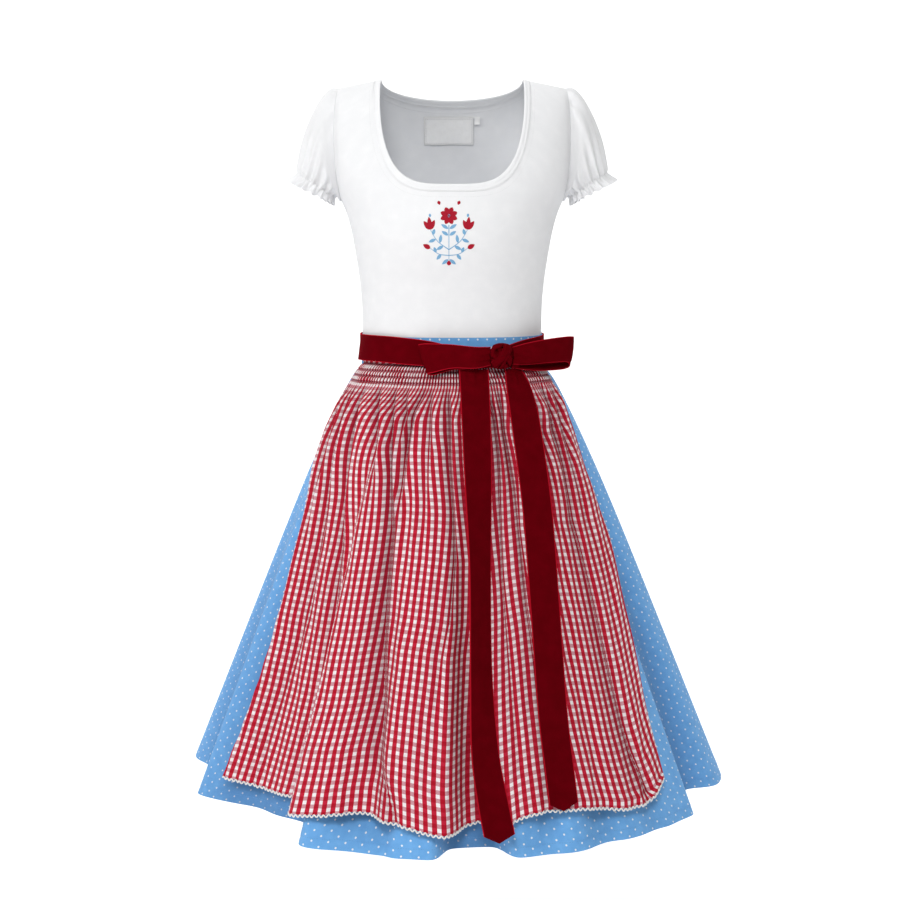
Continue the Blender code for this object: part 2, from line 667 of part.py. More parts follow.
def apron_grid(share, drops):
    """Angles and heights of a grid over the apron, from the yoke to the hem."""
    hem_angle = APRON_EDGES[-1].left + (APRON_EDGES[-1].right - APRON_EDGES[-1].left) * share
    hem = smooth_table(column(APRON_HEM, "angle"), column(APRON_HEM, "height"), hem_angle)
    top = YOKE_BOTTOM_Z - SEAM_GAP
    height = top + (hem - top) * drops[:, None]
    left, right = apron_span(height)
    return left + (right - left) * share, height


def apron_panel(material, steps):
    share = apron_columns(steps)
    drops = np.array([0.0, 0.035, 0.10, 0.22, 0.36, 0.50, 0.63, 0.76, 0.88, 1.0])
    around, height = apron_grid(share, drops)
    outer = polar(apron_outer(around, height), around, height)
    inner = polar(apron_inner(around, height) + apron_gathers(around, height), around, height)
    return wall("apron_panel", outer, inner, material)


def apron_lace(material, steps):
    """Narrow picot edging under the apron's hem."""
    around, height = apron_grid(apron_columns(steps), np.array([1.0]))
    levels = np.array([-SEAM_GAP, -SEAM_GAP - LACE_WIDTH])[:, None]
    height = height + levels
    around = np.repeat(around, 2, axis=0)
    base = apron_inner(around, height) + apron_gathers(around, height)
    outer = polar(base + COTTON, around, height)
    inner = polar(base + 0.0003, around, height)
    return wall("apron_lace", outer, inner, material)


def velvet_sash(material, steps):
    """Ribbon round the waist, open where the knot closes it."""
    around = np.linspace(SASH[0].angle, SASH[-1].angle, steps + 1)
    top = sash_top(around)
    height = top - RIBBON_WIDTH * np.array([0.0, 0.25, 0.6, 0.85, 1.0])[:, None]
    inner = polar(sash_inner(around, height), around, height)
    outer = polar(sash_inner(around, height) + VELVET, around, height)
    return wall("velvet_sash", outer, inner, material)


def tail_rows(rows, count):
    """Smooth rows down a tail: middle across, height, half width and turn."""
    steps = (len(rows) - 1) * np.linspace(0, 1, count) ** 1.25
    index = np.arange(len(rows))
    return [smooth_table(index, column(rows, n), steps) for n in ("x", "height", "half_width", "turn")]


def velvet_tail(name, rows, material, count):
    """One hanging end of the ribbon, flat across its width and clear of what it lies on."""
    x_mid, height, half_width, turn = tail_rows(rows, count)
    fine = np.linspace(0, count - 1, 8 * (count - 1) + 1)
    index = np.arange(count)
    fine_x, fine_z, fine_half = (np.interp(fine, index, v) for v in (x_mid, height, half_width))
    fine_z[-1] -= TAIL_POINT
    spread = np.linspace(-1.15, 1.15, 11)[:, None]
    radius = np.full(count, 0.12)
    for _ in range(24):
        run = np.interp(fine, index, radius)
        around = np.degrees(np.arcsin(np.clip(fine_x / run, -0.95, 0.95)))
        turned = spread * np.degrees(fine_half / run)
        need = (look_up(UNDER_BOW, around + turned, fine_z) * np.cos(np.radians(turned))).max(axis=0)
        short = (need - run)[:-1].reshape(count - 1, 8).max(axis=1)
        short = np.concatenate([short, [(need - run)[-1]]])
        radius = radius + 0.5 * np.maximum(short, np.concatenate([[-1.0], short[:-1]]))
    around = np.degrees(np.arcsin(x_mid / radius))
    lean = np.radians(turn)
    radius = radius + LAYER_GAP + VELVET + half_width * np.sin(lean)
    across = np.linspace(-1, 1, 5)
    middle = polar(radius, around, height)
    angle = np.radians(around)
    tangent = np.stack([np.cos(angle), np.sin(angle), 0 * angle], axis=-1)
    out = np.stack([np.sin(angle), -np.cos(angle), 0 * angle], axis=-1)
    side = tangent * np.cos(lean)[:, None] - out * np.sin(lean)[:, None]
    face = out * np.cos(lean)[:, None] + tangent * np.sin(lean)[:, None]
    outer = middle[:, None, :] + half_width[:, None, None] * across[None, :, None] * side[:, None, :]
    outer[-1, :, 2] -= TAIL_POINT * (1 - np.abs(across))
    inner = outer - VELVET * face[:, None, :]
    return wall(name, outer, inner, material)


LoopPoint = namedtuple("LoopPoint", "x out top bottom")
# Round each loop from the knot along its front, about its end and back behind; out is in front of the ribbon.
LEFT_LOOP = (
    LoopPoint(0.0537, 0.0100, -0.3830, -0.4120),
    LoopPoint(0.0320, 0.0150, -0.3790, -0.4100),
    LoopPoint(-0.0020, 0.0160, -0.3735, -0.4085),
    LoopPoint(-0.0360, 0.0140, -0.3735, -0.4150),
    LoopPoint(-0.0480, 0.0095, -0.3760, -0.4175),
    LoopPoint(-0.0350, 0.0064, -0.3780, -0.4200),
    LoopPoint(-0.0020, 0.0046, -0.3800, -0.4200),
    LoopPoint(0.0320, 0.0046, -0.3820, -0.4200),
    LoopPoint(0.0537, 0.0046, -0.3840, -0.4180),
)
RIGHT_LOOP = (
    LoopPoint(0.0863, 0.0110, -0.3830, -0.4100),
    LoopPoint(0.1080, 0.0170, -0.3785, -0.4120),
    LoopPoint(0.1380, 0.0200, -0.3740, -0.4095),
    LoopPoint(0.1690, 0.0180, -0.3705, -0.4100),
    LoopPoint(0.1780, 0.0110, -0.3725, -0.4140),
    LoopPoint(0.1660, 0.0060, -0.3750, -0.4185),
    LoopPoint(0.1380, 0.0052, -0.3780, -0.4200),
    LoopPoint(0.1080, 0.0060, -0.3810, -0.4195),
    LoopPoint(0.0863, 0.0064, -0.3840, -0.4180),
)


def bow_loop(name, points, material, steps):
    """Ribbon folded back on itself, made as one wall from the knot out and back."""
    index = np.arange(len(points))
    spread = np.linspace(0, len(points) - 1, steps + 1)
    x, out, top, bottom = (smooth_table(index, column(points, n), spread) for n in LoopPoint._fields)
    bend = np.maximum(x - 0.100, 0.0)

    def sit(height):
        return -(front_of(x - bend, height) - 0.60 * bend - 1.5 * bend**2) - out

    path = np.stack([x, sit(np.full(len(x), KNOT_CENTRE_Z))], axis=-1)
    tangent = np.gradient(path, axis=0)
    tangent /= np.linalg.norm(tangent, axis=-1, keepdims=True)
    turn = 1.0 if points[4].x < points[0].x else -1.0
    face = np.stack([tangent[:, 1], -tangent[:, 0]], axis=-1) * -turn
    middle_x = (top + bottom) / 2
    rows = []
    for level in np.linspace(0, 1, 4):
        z = top + (bottom - top) * level
        cup = 0.0015 * math.sin(math.pi * level)
        rows.append(np.stack([x + face[:, 0] * cup, sit(z) + face[:, 1] * cup, z], axis=-1))
    outer = np.array(rows)
    depth = np.concatenate([face * VELVET, 0 * middle_x[:, None]], axis=-1)
    return wall(name, outer, outer - depth, material)


def bow_knot(material, around_steps, levels):
    """Wrapped knot: a rounded pad on the ribbon, with a slanting crease."""
    turn = np.linspace(0, 2 * math.pi, around_steps, endpoint=False)
    rows = []
    for level in np.linspace(-1, 1, levels):
        size = (1 - abs(level) ** 2.6) ** (1 / 2.6) * 0.72 + 0.28
        crease = 1 - 0.14 * np.exp(-(((np.sin(turn) - 0.5 * level) / 0.22) ** 2)) * (np.cos(turn) > 0)
        x = KNOT_CENTRE_X + 0.0015 * level + (KNOT_HALF_WIDTH - 0.0005) * size * np.sin(turn)
        z = np.full(around_steps, KNOT_CENTRE_Z + KNOT_HALF_HEIGHT * level)
        raised = KNOT_DEPTH * size * (1 + np.cos(turn)) / 2 * crease
        behind = np.max([front_of(x, z + shift) for shift in (-0.004, 0.0, 0.004)], axis=0)
        rows.append(np.stack([x, -behind - 2 * LAYER_GAP - raised, z], axis=-1))
    rows = np.array(rows)
    vertices = [tuple(p) for p in rows.reshape(-1, 3)]
    faces = list(quad_rows(levels, around_steps, 0, True))
    faces.append(tuple(range(around_steps)))
    faces.append(tuple(range((levels - 1) * around_steps, levels * around_steps)))
    return solid("bow_knot", vertices, faces, material)


def main():
    for old in list(bpy.data.objects):
        bpy.data.objects.remove(old)
    jersey = finish_material("white_jersey", (0.86, 0.86, 0.86), 0.85)
    woven = finish_material("label_tape", (0.80, 0.80, 0.79), 0.7)
    dotted = finish_material("blue_dotted_cotton", (0.16, 0.36, 0.72), 0.8)
    gingham = finish_material("red_gingham", (0.62, 0.10, 0.16), 0.8)
    picot = finish_material("white_picot", (0.88, 0.87, 0.85), 0.8)
    velvet = finish_material("dark_red_velvet", (0.20, 0.004, 0.012), 0.6)

    bodice_panel("bodice_front", -1, jersey, scoop_steps=FRONT_SCOOP, strap_steps=4, low_rows=5, high_rows=5)
    bodice_panel("bodice_back", 1, jersey, scoop_steps=BACK_SCOOP, strap_steps=4, low_rows=4, high_rows=5)
    neck_binding(jersey, FRONT_SCOOP, BACK_SCOOP)
    sleeve("sleeve_left", -1, jersey)
    sleeve("sleeve_right", 1, jersey)
    neck_label(woven)
    skirt_waistband(dotted, steps=48)
    skirt_panel("skirt_front", -90, 90, dotted, steps=56)
    skirt_panel("skirt_back", 90, 270, dotted, steps=46)
    apron_yoke(gingham)
    apron_panel(gingham, steps=APRON_COLUMNS)
    apron_lace(picot, steps=APRON_COLUMNS)
    velvet_sash(velvet, steps=48)
    velvet_tail("velvet_tail_left", LEFT_TAIL, velvet, count=15)
    velvet_tail("velvet_tail_right", RIGHT_TAIL, velvet, count=14)
    bow_loop("bow_loop_left", LEFT_LOOP, velvet, steps=20)
    bow_loop("bow_loop_right", RIGHT_LOOP, velvet, steps=20)
    bow_knot(velvet, around_steps=16, levels=7)


main()
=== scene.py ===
import json
import math

import bpy
import numpy as np
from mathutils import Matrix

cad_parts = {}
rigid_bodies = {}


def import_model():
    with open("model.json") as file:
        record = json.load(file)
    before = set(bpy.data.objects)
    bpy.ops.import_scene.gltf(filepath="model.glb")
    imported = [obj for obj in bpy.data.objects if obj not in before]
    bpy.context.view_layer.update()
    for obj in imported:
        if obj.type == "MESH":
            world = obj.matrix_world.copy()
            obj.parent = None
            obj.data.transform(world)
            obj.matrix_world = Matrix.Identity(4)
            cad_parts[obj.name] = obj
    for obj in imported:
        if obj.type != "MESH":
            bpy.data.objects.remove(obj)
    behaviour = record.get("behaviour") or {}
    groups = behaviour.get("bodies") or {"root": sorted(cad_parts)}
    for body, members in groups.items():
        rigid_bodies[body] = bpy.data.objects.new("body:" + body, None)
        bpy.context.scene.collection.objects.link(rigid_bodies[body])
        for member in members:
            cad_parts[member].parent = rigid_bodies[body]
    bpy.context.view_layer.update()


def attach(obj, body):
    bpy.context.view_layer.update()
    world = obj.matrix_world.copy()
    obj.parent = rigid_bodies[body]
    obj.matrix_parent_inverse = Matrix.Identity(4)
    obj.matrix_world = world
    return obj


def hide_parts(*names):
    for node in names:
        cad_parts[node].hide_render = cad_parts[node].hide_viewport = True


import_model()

# Dirndl dress, filled out and hollow: jersey bodice, checked apron, dotted skirt and velvet ribbon.
# Metres, +Z up, front towards -Y, origin at the middle of the shoulder line.

anyPhase = 6.28        # the end of a random wave's phase, about one turn
halfGap = 0.00008      # front and back panels stand this far off the middle plane


def smoothTable(xs, ys, x):
    # cubic through the rows of a table
    xs, ys, x = np.asarray(xs, float), np.asarray(ys, float), np.asarray(x, float)
    slopes = np.gradient(ys, xs)
    k = np.clip(np.searchsorted(xs, x) - 1, 0, len(xs) - 2)
    step = xs[k + 1] - xs[k]
    t = np.clip((x - xs[k]) / step, 0.0, 1.0)
    return ((1 + 2 * t) * (1 - t) ** 2 * ys[k] + t * (1 - t) ** 2 * step * slopes[k]
            + t * t * (3 - 2 * t) * ys[k + 1] + t * t * (t - 1) * step * slopes[k + 1])


def smoothStep(low, high, x):
    t = np.clip((x - low) / (high - low), 0.0, 1.0)
    return t * t * (3 - 2 * t)


def ripples(x, y, seed, count, across, down):
    # uneven shallow waves, about -1 to 1
    rng = np.random.default_rng(seed)
    total = 0.0
    for _ in range(count):
        sideways = x * rng.uniform(0.6, 1.6) / across
        downward = y * rng.uniform(-1, 1) / down
        total = total + np.sin(sideways + downward + rng.uniform(0, anyPhase))
    return total / math.sqrt(count)


def unit(v):
    return v / np.maximum(np.linalg.norm(v, axis=-1, keepdims=True), 1e-12)


def polar(radius, around, height):
    # around is in degrees from the front, positive towards +X
    angle = np.radians(around)
    radius, angle, height = np.broadcast_arrays(radius, angle, height)
    return np.stack([radius * np.sin(angle), -radius * np.cos(angle), height], axis=-1)


def gridNormals(points, closed=False):
    if closed:
        along = np.roll(points, -1, axis=1) - np.roll(points, 1, axis=1)
    else:
        along = np.gradient(points, axis=1)
    return unit(np.cross(along, np.gradient(points, axis=0)))


def turnedOut(normals, points, centre):
    away = np.sum(normals * (points - np.asarray(centre)), axis=-1).mean()
    return normals if away > 0 else -normals


def rowLengths(points, closed=False):
    # distance along each row of a grid, starting at its first column
    if closed:
        points = np.concatenate([points, points[:, :1]], axis=1)
    steps = np.linalg.norm(np.diff(points, axis=1), axis=-1)
    return np.concatenate([np.zeros((len(points), 1)), np.cumsum(steps, axis=1)], axis=1)


def rowDrops(points):
    # mean distance down a grid to each of its rows
    steps = np.linalg.norm(np.diff(points, axis=0), axis=-1).mean(axis=1)
    return np.concatenate([[0.0], np.cumsum(steps)])


def link(name, mesh):
    made = bpy.data.objects.new(name, mesh)
    bpy.context.scene.collection.objects.link(made)
    return made


def wallParts(outer, inner, closed=False, uv=None):
    # points, faces and cloth coordinates of one closed wall between two grids of the same size
    # uv is in metres: for every grid column, and on a ring for one more, or a pair of grids that hold
    # each face's left and right
    rows, cols = outer.shape[:2]
    wide = cols if closed else cols - 1
    r, c = np.meshgrid(np.arange(rows - 1), np.arange(wide), indexing="ij")
    nxt = (c + 1) % cols
    start = rows * cols
    quads = [np.stack([r * cols + c, r * cols + nxt, (r + 1) * cols + nxt, (r + 1) * cols + c], axis=-1)]
    quads.append(quads[0][..., ::-1] + start)
    if uv is None:
        falls = np.broadcast_to(-outer[:, :1, 2], (rows, wide + 1))
        uv = np.stack([rowLengths(outer, closed), falls], axis=-1)
    left, right = uv if isinstance(uv, tuple) else (uv[:, :-1], uv[:, 1:])
    corners = [np.stack([left[:-1], right[:-1], right[1:], left[1:]], axis=2)]
    corners.append(corners[0][:, :, ::-1])
    c1, n1 = np.arange(wide), (np.arange(wide) + 1) % cols
    top = np.stack([n1, c1, start + c1, start + n1], axis=-1)
    low = (rows - 1) * cols
    bottom = np.stack([low + c1, low + n1, start + low + n1, start + low + c1], axis=-1)
    quads += [top, bottom]
    corners += [np.stack([right[0], left[0], left[0], right[0]], axis=1),
                np.stack([left[-1], right[-1], right[-1], left[-1]], axis=1)]
    if not closed:
        r1 = np.arange(rows - 1)
        a, b = r1 * cols, (r1 + 1) * cols
        quads.append(np.stack([a, b, start + b, start + a], axis=-1))
        corners.append(np.stack([left[:-1, 0], left[1:, 0], left[1:, 0], left[:-1, 0]], axis=1))
        a, b = a + cols - 1, b + cols - 1
        quads.append(np.stack([b, a, start + a, start + b], axis=-1))
        corners.append(np.stack([right[1:, -1], right[:-1, -1], right[:-1, -1], right[1:, -1]], axis=1))
    faces = np.concatenate([q.reshape(-1, 4) for q in quads])
    uvs = np.concatenate([k.reshape(-1, 4, 2) for k in corners])
    points = np.concatenate([outer.reshape(-1, 3), inner.reshape(-1, 3)])
    p = points[faces]
    volume = (np.cross(p[:, 0], p[:, 1]) * p[:, 2]).sum() + (np.cross(p[:, 0], p[:, 2]) * p[:, 3]).sum()
    if volume < 0:
        faces, uvs = faces[:, ::-1], uvs[:, ::-1]
    return points, faces, uvs


def clothWall(name, outer, inner, finish, closed=False, uv=None, sharpAt=60, deep=None):
    made = clothMesh(name, *wallParts(outer, inner, closed, uv), finish, sharpAt)
    # the deep attribute drives painted shade in the finish, darker deeper in a fold
    if deep is not None:      # how deep in a fold each point lies, 0 to 1, for the finish
        kept = made.data.attributes.new("deep", "FLOAT", "POINT")
        kept.data.foreach_set("value", np.tile(deep.ravel(), 2).astype(np.float32))
    return made


def joinedWalls(name, parts, finish, sharpAt=60):
    starts = np.cumsum([0] + [len(points) for points, _, _ in parts[:-1]])
    return clothMesh(name, np.concatenate([part[0] for part in parts]),
                     np.concatenate([part[1] + start for part, start in zip(parts, starts)]),
                     np.concatenate([part[2] for part in parts]), finish, sharpAt)


def plainMesh(modified, name, finish):
    # the evaluated result as a mesh of its own; the object with the modifier is taken away
    graph = bpy.context.evaluated_depsgraph_get()
    mesh = bpy.data.meshes.new_from_object(modified.evaluated_get(graph))
    source = modified.data
    bpy.data.objects.remove(modified)
    bpy.data.meshes.remove(source)
    mesh.materials.clear()
    mesh.materials.append(finish)
    mesh.name = name
    return link(name, mesh)


def pathMesh(name, paths, ups):
    # open polylines with the direction away from the cloth kept on each point
    mesh = bpy.data.meshes.new(name)
    edges, start = [], 0
    for path in paths:
        edges += [(start + k, start + k + 1) for k in range(len(path) - 1)]
        start += len(path)
    mesh.from_pydata(np.concatenate(paths).tolist(), edges, [])
    kept = mesh.attributes.new("away", "FLOAT_VECTOR", "POINT")
    kept.data.foreach_set("vector", np.concatenate(ups).astype(np.float32).ravel())
    return link(name, mesh)


def nodeTree(name, inputs):
    tree = bpy.data.node_groups.new(name, "GeometryNodeTree")
    tree.interface.new_socket("Geometry", in_out="INPUT", socket_type="NodeSocketGeometry")
    for label, value in inputs.items():
        kind = "NodeSocketMaterial" if value is None else "NodeSocketFloat"
        made = tree.interface.new_socket(label, in_out="INPUT", socket_type=kind)
        if value is not None:
            made.default_value = value
    tree.interface.new_socket("Geometry", in_out="OUTPUT", socket_type="NodeSocketGeometry")
    return tree, tree.nodes.new("NodeGroupInput"), tree.nodes.new("NodeGroupOutput")


def geo(tree, kind, settings=(), **sockets):
    # one geometry node with its sockets filled by value or link
    node = tree.nodes.new(kind)
    for label, value in dict(settings).items():
        setattr(node, label, value)
    for label, value in sockets.items():
        socket = node.inputs[int(label[1:])] if label[1:].isdigit() else node.inputs[label.replace("_", " ")]
        put(tree, socket, value)
    return node


def useTree(made, tree, values):
    modifier = made.modifiers.new("making", "NODES")
    modifier.node_group = tree
    for item in tree.interface.items_tree:
        if item.item_type == "SOCKET" and item.in_out == "INPUT" and item.name in values:
            modifier[item.identifier] = values[item.name]
    return modifier


def stitchTree():
    tree, given, result = nodeTree("sewn_stitches", {"Spacing": 0.003, "Stitch Length": 0.002,
                                                     "Thread": 0.0003, "Finish": None})
    curve = geo(tree, "GeometryNodeMeshToCurve", Mesh=given.outputs["Geometry"])
    points = geo(tree, "GeometryNodeResampleCurve", Curve=curve.outputs[0])
    points.mode = "LENGTH"
    put(tree, points.inputs["Length"], given.outputs["Spacing"])
    away = geo(tree, "GeometryNodeInputNamedAttribute", settings=dict(data_type="FLOAT_VECTOR"), Name="away")
    along = tree.nodes.new("GeometryNodeInputTangent")
    turn = geo(tree, "FunctionNodeAlignRotationToVector", settings=dict(axis="Z"), Vector=along.outputs[0])
    turn = geo(tree, "FunctionNodeAlignRotationToVector", settings=dict(axis="X", pivot_axis="Z"),
               Rotation=turn.outputs[0], Vector=away.outputs[0])
    ball = geo(tree, "GeometryNodeMeshUVSphere", Segments=6, Rings=5, Radius=0.5)
    size = geo(tree, "ShaderNodeCombineXYZ", X=given.outputs["Thread"], Y=given.outputs["Thread"],
               Z=given.outputs["Stitch Length"])
    stitches = geo(tree, "GeometryNodeInstanceOnPoints", Points=points.outputs[0],
                   Instance=ball.outputs["Mesh"], Rotation=turn.outputs[0], Scale=size.outputs[0])
    real = geo(tree, "GeometryNodeRealizeInstances", Geometry=stitches.outputs[0])
    finished = geo(tree, "GeometryNodeSetMaterial", Geometry=real.outputs[0],
                   Material=given.outputs["Finish"])
    tree.links.new(finished.outputs[0], result.inputs[0])
    return tree


def sewStitches(name, paths, ups, spacing, length, thread, finish):
    made = pathMesh(name + "_path", paths, ups)
    useTree(made, stitchTree(), {"Spacing": spacing, "Stitch Length": length, "Thread": thread,
                                 "Finish": finish})
    return plainMesh(made, name, finish)


def clothMesh(name, points, faces, uvs, finish, sharpAt=60):
    mesh = bpy.data.meshes.new(name)
    mesh.from_pydata(points.tolist(), [], faces.tolist())
    corners = np.ascontiguousarray(uvs, dtype=np.float32)
    mesh.uv_layers.new(name="cloth").data.foreach_set("uv", corners.ravel())
    mesh.shade_smooth()
    mesh.set_sharp_from_angle(angle=math.radians(sharpAt))
    mesh.materials.append(finish)
    return link(name, mesh)


cameraPlace = dict(x=-0.003, distance=2.5193, height=-0.226, pitchDown=7.139, lens=68.12)

eye = bpy.data.cameras.new("photo_camera")
eye.lens, eye.sensor_width = cameraPlace["lens"], 36.0
eye.clip_start, eye.clip_end = 0.05, 60.0
camera = bpy.data.objects.new("photo_camera", eye)
bpy.context.scene.collection.objects.link(camera)
camera.location = (cameraPlace["x"], -cameraPlace["distance"], cameraPlace["height"])
camera.rotation_euler = (math.radians(90 - cameraPlace["pitchDown"]), 0, 0)
bpy.context.scene.camera = camera


def newFinish(name, roughness=0.8, sheen=0.0, sheenRoughness=0.5, sheenTint=(1, 1, 1), specular=0.3):
    finish = bpy.data.materials.new(name)
    finish.use_nodes = True
    shader = finish.node_tree.nodes["Principled BSDF"]
    shader.inputs["Roughness"].default_value = roughness
    shader.inputs["Specular IOR Level"].default_value = specular
    shader.inputs["Sheen Weight"].default_value = sheen
    shader.inputs["Sheen Roughness"].default_value = sheenRoughness
    shader.inputs["Sheen Tint"].default_value = (*sheenTint, 1)
    return finish, finish.node_tree, shader


def put(tree, socket, value):
    if isinstance(value, bpy.types.NodeSocket):
        tree.links.new(value, socket)
    else:
        socket.default_value = value


def sums(tree, kind, a, b=0.0, c=0.0, clamp=False):
    node = tree.nodes.new("ShaderNodeMath")
    node.operation, node.use_clamp = kind, clamp
    for socket, value in zip(node.inputs, (a, b, c)):
        put(tree, socket, value)
    return node.outputs[0]


def ramp(tree, low, high, value):
    # 0 below low and 1 above high, softly between
    node = tree.nodes.new("ShaderNodeMapRange")
    node.interpolation_type = "SMOOTHSTEP"
    put(tree, node.inputs["Value"], value)
    node.inputs["From Min"].default_value, node.inputs["From Max"].default_value = low, high
    return node.outputs["Result"]


def blendColour(tree, share, a, b):
    node = tree.nodes.new("ShaderNodeMix")
    node.data_type = "RGBA"
    put(tree, node.inputs[0], share)
    for socket, value in ((node.inputs[6], a), (node.inputs[7], b)):
        put(tree, socket, (*value, 1) if isinstance(value, tuple) else value)
    return node.outputs[2]


def clothCoords(tree):
    # u and v of the cloth, in metres
    uv = tree.nodes.new("ShaderNodeUVMap")
    uv.uv_map = "cloth"
    split = tree.nodes.new("ShaderNodeSeparateXYZ")
    tree.links.new(uv.outputs[0], split.inputs[0])
    return uv.outputs[0], split.outputs[0], split.outputs[1]


def noise(tree, vector, scale, detail=3.0, rough=0.5):
    node = tree.nodes.new("ShaderNodeTexNoise")
    put(tree, node.inputs["Vector"], vector)
    node.inputs["Scale"].default_value = scale
    node.inputs["Detail"].default_value = detail
    node.inputs["Roughness"].default_value = rough
    return node.outputs[0]


def foldShade(tree):
    # how deep in a fold each point lies, as clothWall keeps it; the finishes darken the colour by it as
    # painted shade
    kept = tree.nodes.new("ShaderNodeAttribute")
    kept.attribute_name = "deep"
    return kept.outputs["Fac"]


def wave(tree, value, pitch):
    # smooth 0 to 1 wave along a coordinate
    turn = sums(tree, "MULTIPLY", value, 2 * math.pi / pitch)
    return sums(tree, "MULTIPLY_ADD", sums(tree, "SINE", turn), 0.5, 0.5)


def bump(tree, shader, height, distance, strength=1.0):
    node = tree.nodes.new("ShaderNodeBump")
    node.inputs["Distance"].default_value = distance
    node.inputs["Strength"].default_value = strength
    tree.links.new(height, node.inputs["Height"])
    tree.links.new(node.outputs[0], shader.inputs["Normal"])


knit = dict(wale=0.0011, course=0.0008)


def knitLoops(tree, u, v):
    return sums(tree, "MULTIPLY", wave(tree, u, knit["wale"]), wave(tree, v, knit["course"]))


def jerseyFinish(name, colour, shade):
    finish, tree, shader = newFinish(name, roughness=0.78, sheen=0.25, sheenRoughness=0.45, specular=0.25)
    uv, u, v = clothCoords(tree)
    mottle = noise(tree, uv, 55.0, 4.0)
    loops = knitLoops(tree, u, v)
    tone = sums(tree, "MULTIPLY_ADD", mottle, 0.5, sums(tree, "MULTIPLY", loops, 0.25))
    put(tree, shader.inputs["Base Color"], blendColour(tree, ramp(tree, 0.2, 0.65, tone), shade, colour))
    put(tree, shader.inputs["Roughness"], sums(tree, "MULTIPLY_ADD", mottle, 0.15, 0.70))
    raised = sums(tree, "ADD", loops, sums(tree, "MULTIPLY", mottle, 0.8))
    bump(tree, shader, raised, 0.0003, 0.6)
    return finish


def dottedFinish(name, base, deep, dotColour):
    cloth = dict(across=0.0232, down=0.0136, dot=0.00128, ragged=0.0005, yarn=0.0007,
                 paintedShadeColour=(0.030, 0.090, 0.250))
    finish, tree, shader = newFinish(name, roughness=0.8, sheen=0.15, sheenTint=(0.7, 0.85, 1.0),
                                     specular=0.25)
    uv, u, v = clothCoords(tree)

    def lattice(shift):
        parts = []
        for value, period in ((u, cloth["across"]), (v, cloth["down"])):
            cell = sums(tree, "FRACT", sums(tree, "MULTIPLY_ADD", value, 1 / period, 100.5 + shift))
            off = sums(tree, "MULTIPLY", sums(tree, "SUBTRACT", cell, 0.5), period)
            parts.append(sums(tree, "MULTIPLY", off, off))
        return sums(tree, "SQRT", sums(tree, "ADD", parts[0], parts[1]))

    near = sums(tree, "MINIMUM", lattice(0.0), lattice(0.5))
    ragged = sums(tree, "MULTIPLY_ADD", noise(tree, uv, 2600.0, 1.0), cloth["ragged"], near)
    dot = ramp(tree, cloth["dot"] + 0.00045, cloth["dot"] + 0.0001, ragged)
    weave = sums(tree, "MULTIPLY", wave(tree, u, cloth["yarn"]), wave(tree, v, cloth["yarn"]))
    mottle = noise(tree, uv, 70.0, 5.0, 0.6)
    tone = sums(tree, "MULTIPLY_ADD", mottle, 0.7, sums(tree, "MULTIPLY", weave, 0.3))
    ground = blendColour(tree, ramp(tree, 0.25, 0.7, tone), deep, base)
    dotted = blendColour(tree, dot, ground, dotColour)
    # painted shade: the colour darkens towards a dark blue by how deep in a fold each point lies
    put(tree, shader.inputs["Base Color"], blendColour(tree, foldShade(tree), dotted, cloth["paintedShadeColour"]))
    bump(tree, shader, sums(tree, "MULTIPLY_ADD", dot, 1.2, weave), 0.00022, 0.7)
    return finish


def ginghamFinish(name, both, warpRed, weftRed, white):
    # columns of warp stripes and rows of weft stripes, red where both cross
    cloth = dict(across=0.0120, down=0.0103, yarn=0.00085, warpEdge=0.222, weftEdge=0.235, blur=0.015,
                 wornColour=(0.33, 0.03, 0.06), paintedShadeColour=(0.085, 0.0, 0.010), paintedShadeShare=0.72)
    finish, tree, shader = newFinish(name, roughness=0.78, sheen=0.06, sheenTint=(1.0, 0.80, 0.80),
                                     specular=0.15)
    uv, u, v = clothCoords(tree)

    def stripe(value, period, edge):
        saw = sums(tree, "FRACT", sums(tree, "MULTIPLY_ADD", value, 1 / period, 100.0))
        off = sums(tree, "ABSOLUTE", sums(tree, "SUBTRACT", saw, 0.5))
        return ramp(tree, edge - cloth["blur"], edge + cloth["blur"], off)

    warp = stripe(u, cloth["across"], cloth["warpEdge"])
    weft = stripe(v, cloth["down"], cloth["weftEdge"])
    yarnU, yarnV = wave(tree, u, cloth["yarn"]), wave(tree, v, cloth["yarn"])
    lines = ramp(tree, 0.25, 0.75, yarnV)
    pinkLine = blendColour(tree, sums(tree, "MULTIPLY", lines, 0.55), weftRed, white)
    redLine = blendColour(tree, sums(tree, "MULTIPLY", lines, 0.35), warpRed, both)
    redColumn = blendColour(tree, weft, redLine, both)
    whiteColumn = blendColour(tree, weft, white, pinkLine)
    checks = blendColour(tree, warp, whiteColumn, redColumn)
    mottle = noise(tree, uv, 90.0, 4.0, 0.6)
    patchy = sums(tree, "MULTIPLY", ramp(tree, 0.35, 0.75, mottle), 0.16)
    worn = blendColour(tree, patchy, checks, cloth["wornColour"])
    # painted shade: the checks darken towards a deep red by how deep in a fold each point lies
    paintedShade = sums(tree, "MULTIPLY", foldShade(tree), cloth["paintedShadeShare"])
    put(tree, shader.inputs["Base Color"], blendColour(tree, paintedShade, worn, cloth["paintedShadeColour"]))
    bump(tree, shader, sums(tree, "MULTIPLY", yarnU, yarnV), 0.00022, 0.7)
    return finish


def threadFinish(name, colour, shade, scale=900.0):
    # twisted thread or braid, in object coordinates
    finish, tree, shader = newFinish(name, roughness=0.6, sheen=0.2, specular=0.3)
    place = tree.nodes.new("ShaderNodeTexCoord").outputs["Object"]
    twist = noise(tree, place, scale, 2.0)
    tone = ramp(tree, 0.35, 0.65, twist)
    put(tree, shader.inputs["Base Color"], blendColour(tree, tone, shade, colour))
    bump(tree, shader, twist, 0.0003, 0.8)
    return finish


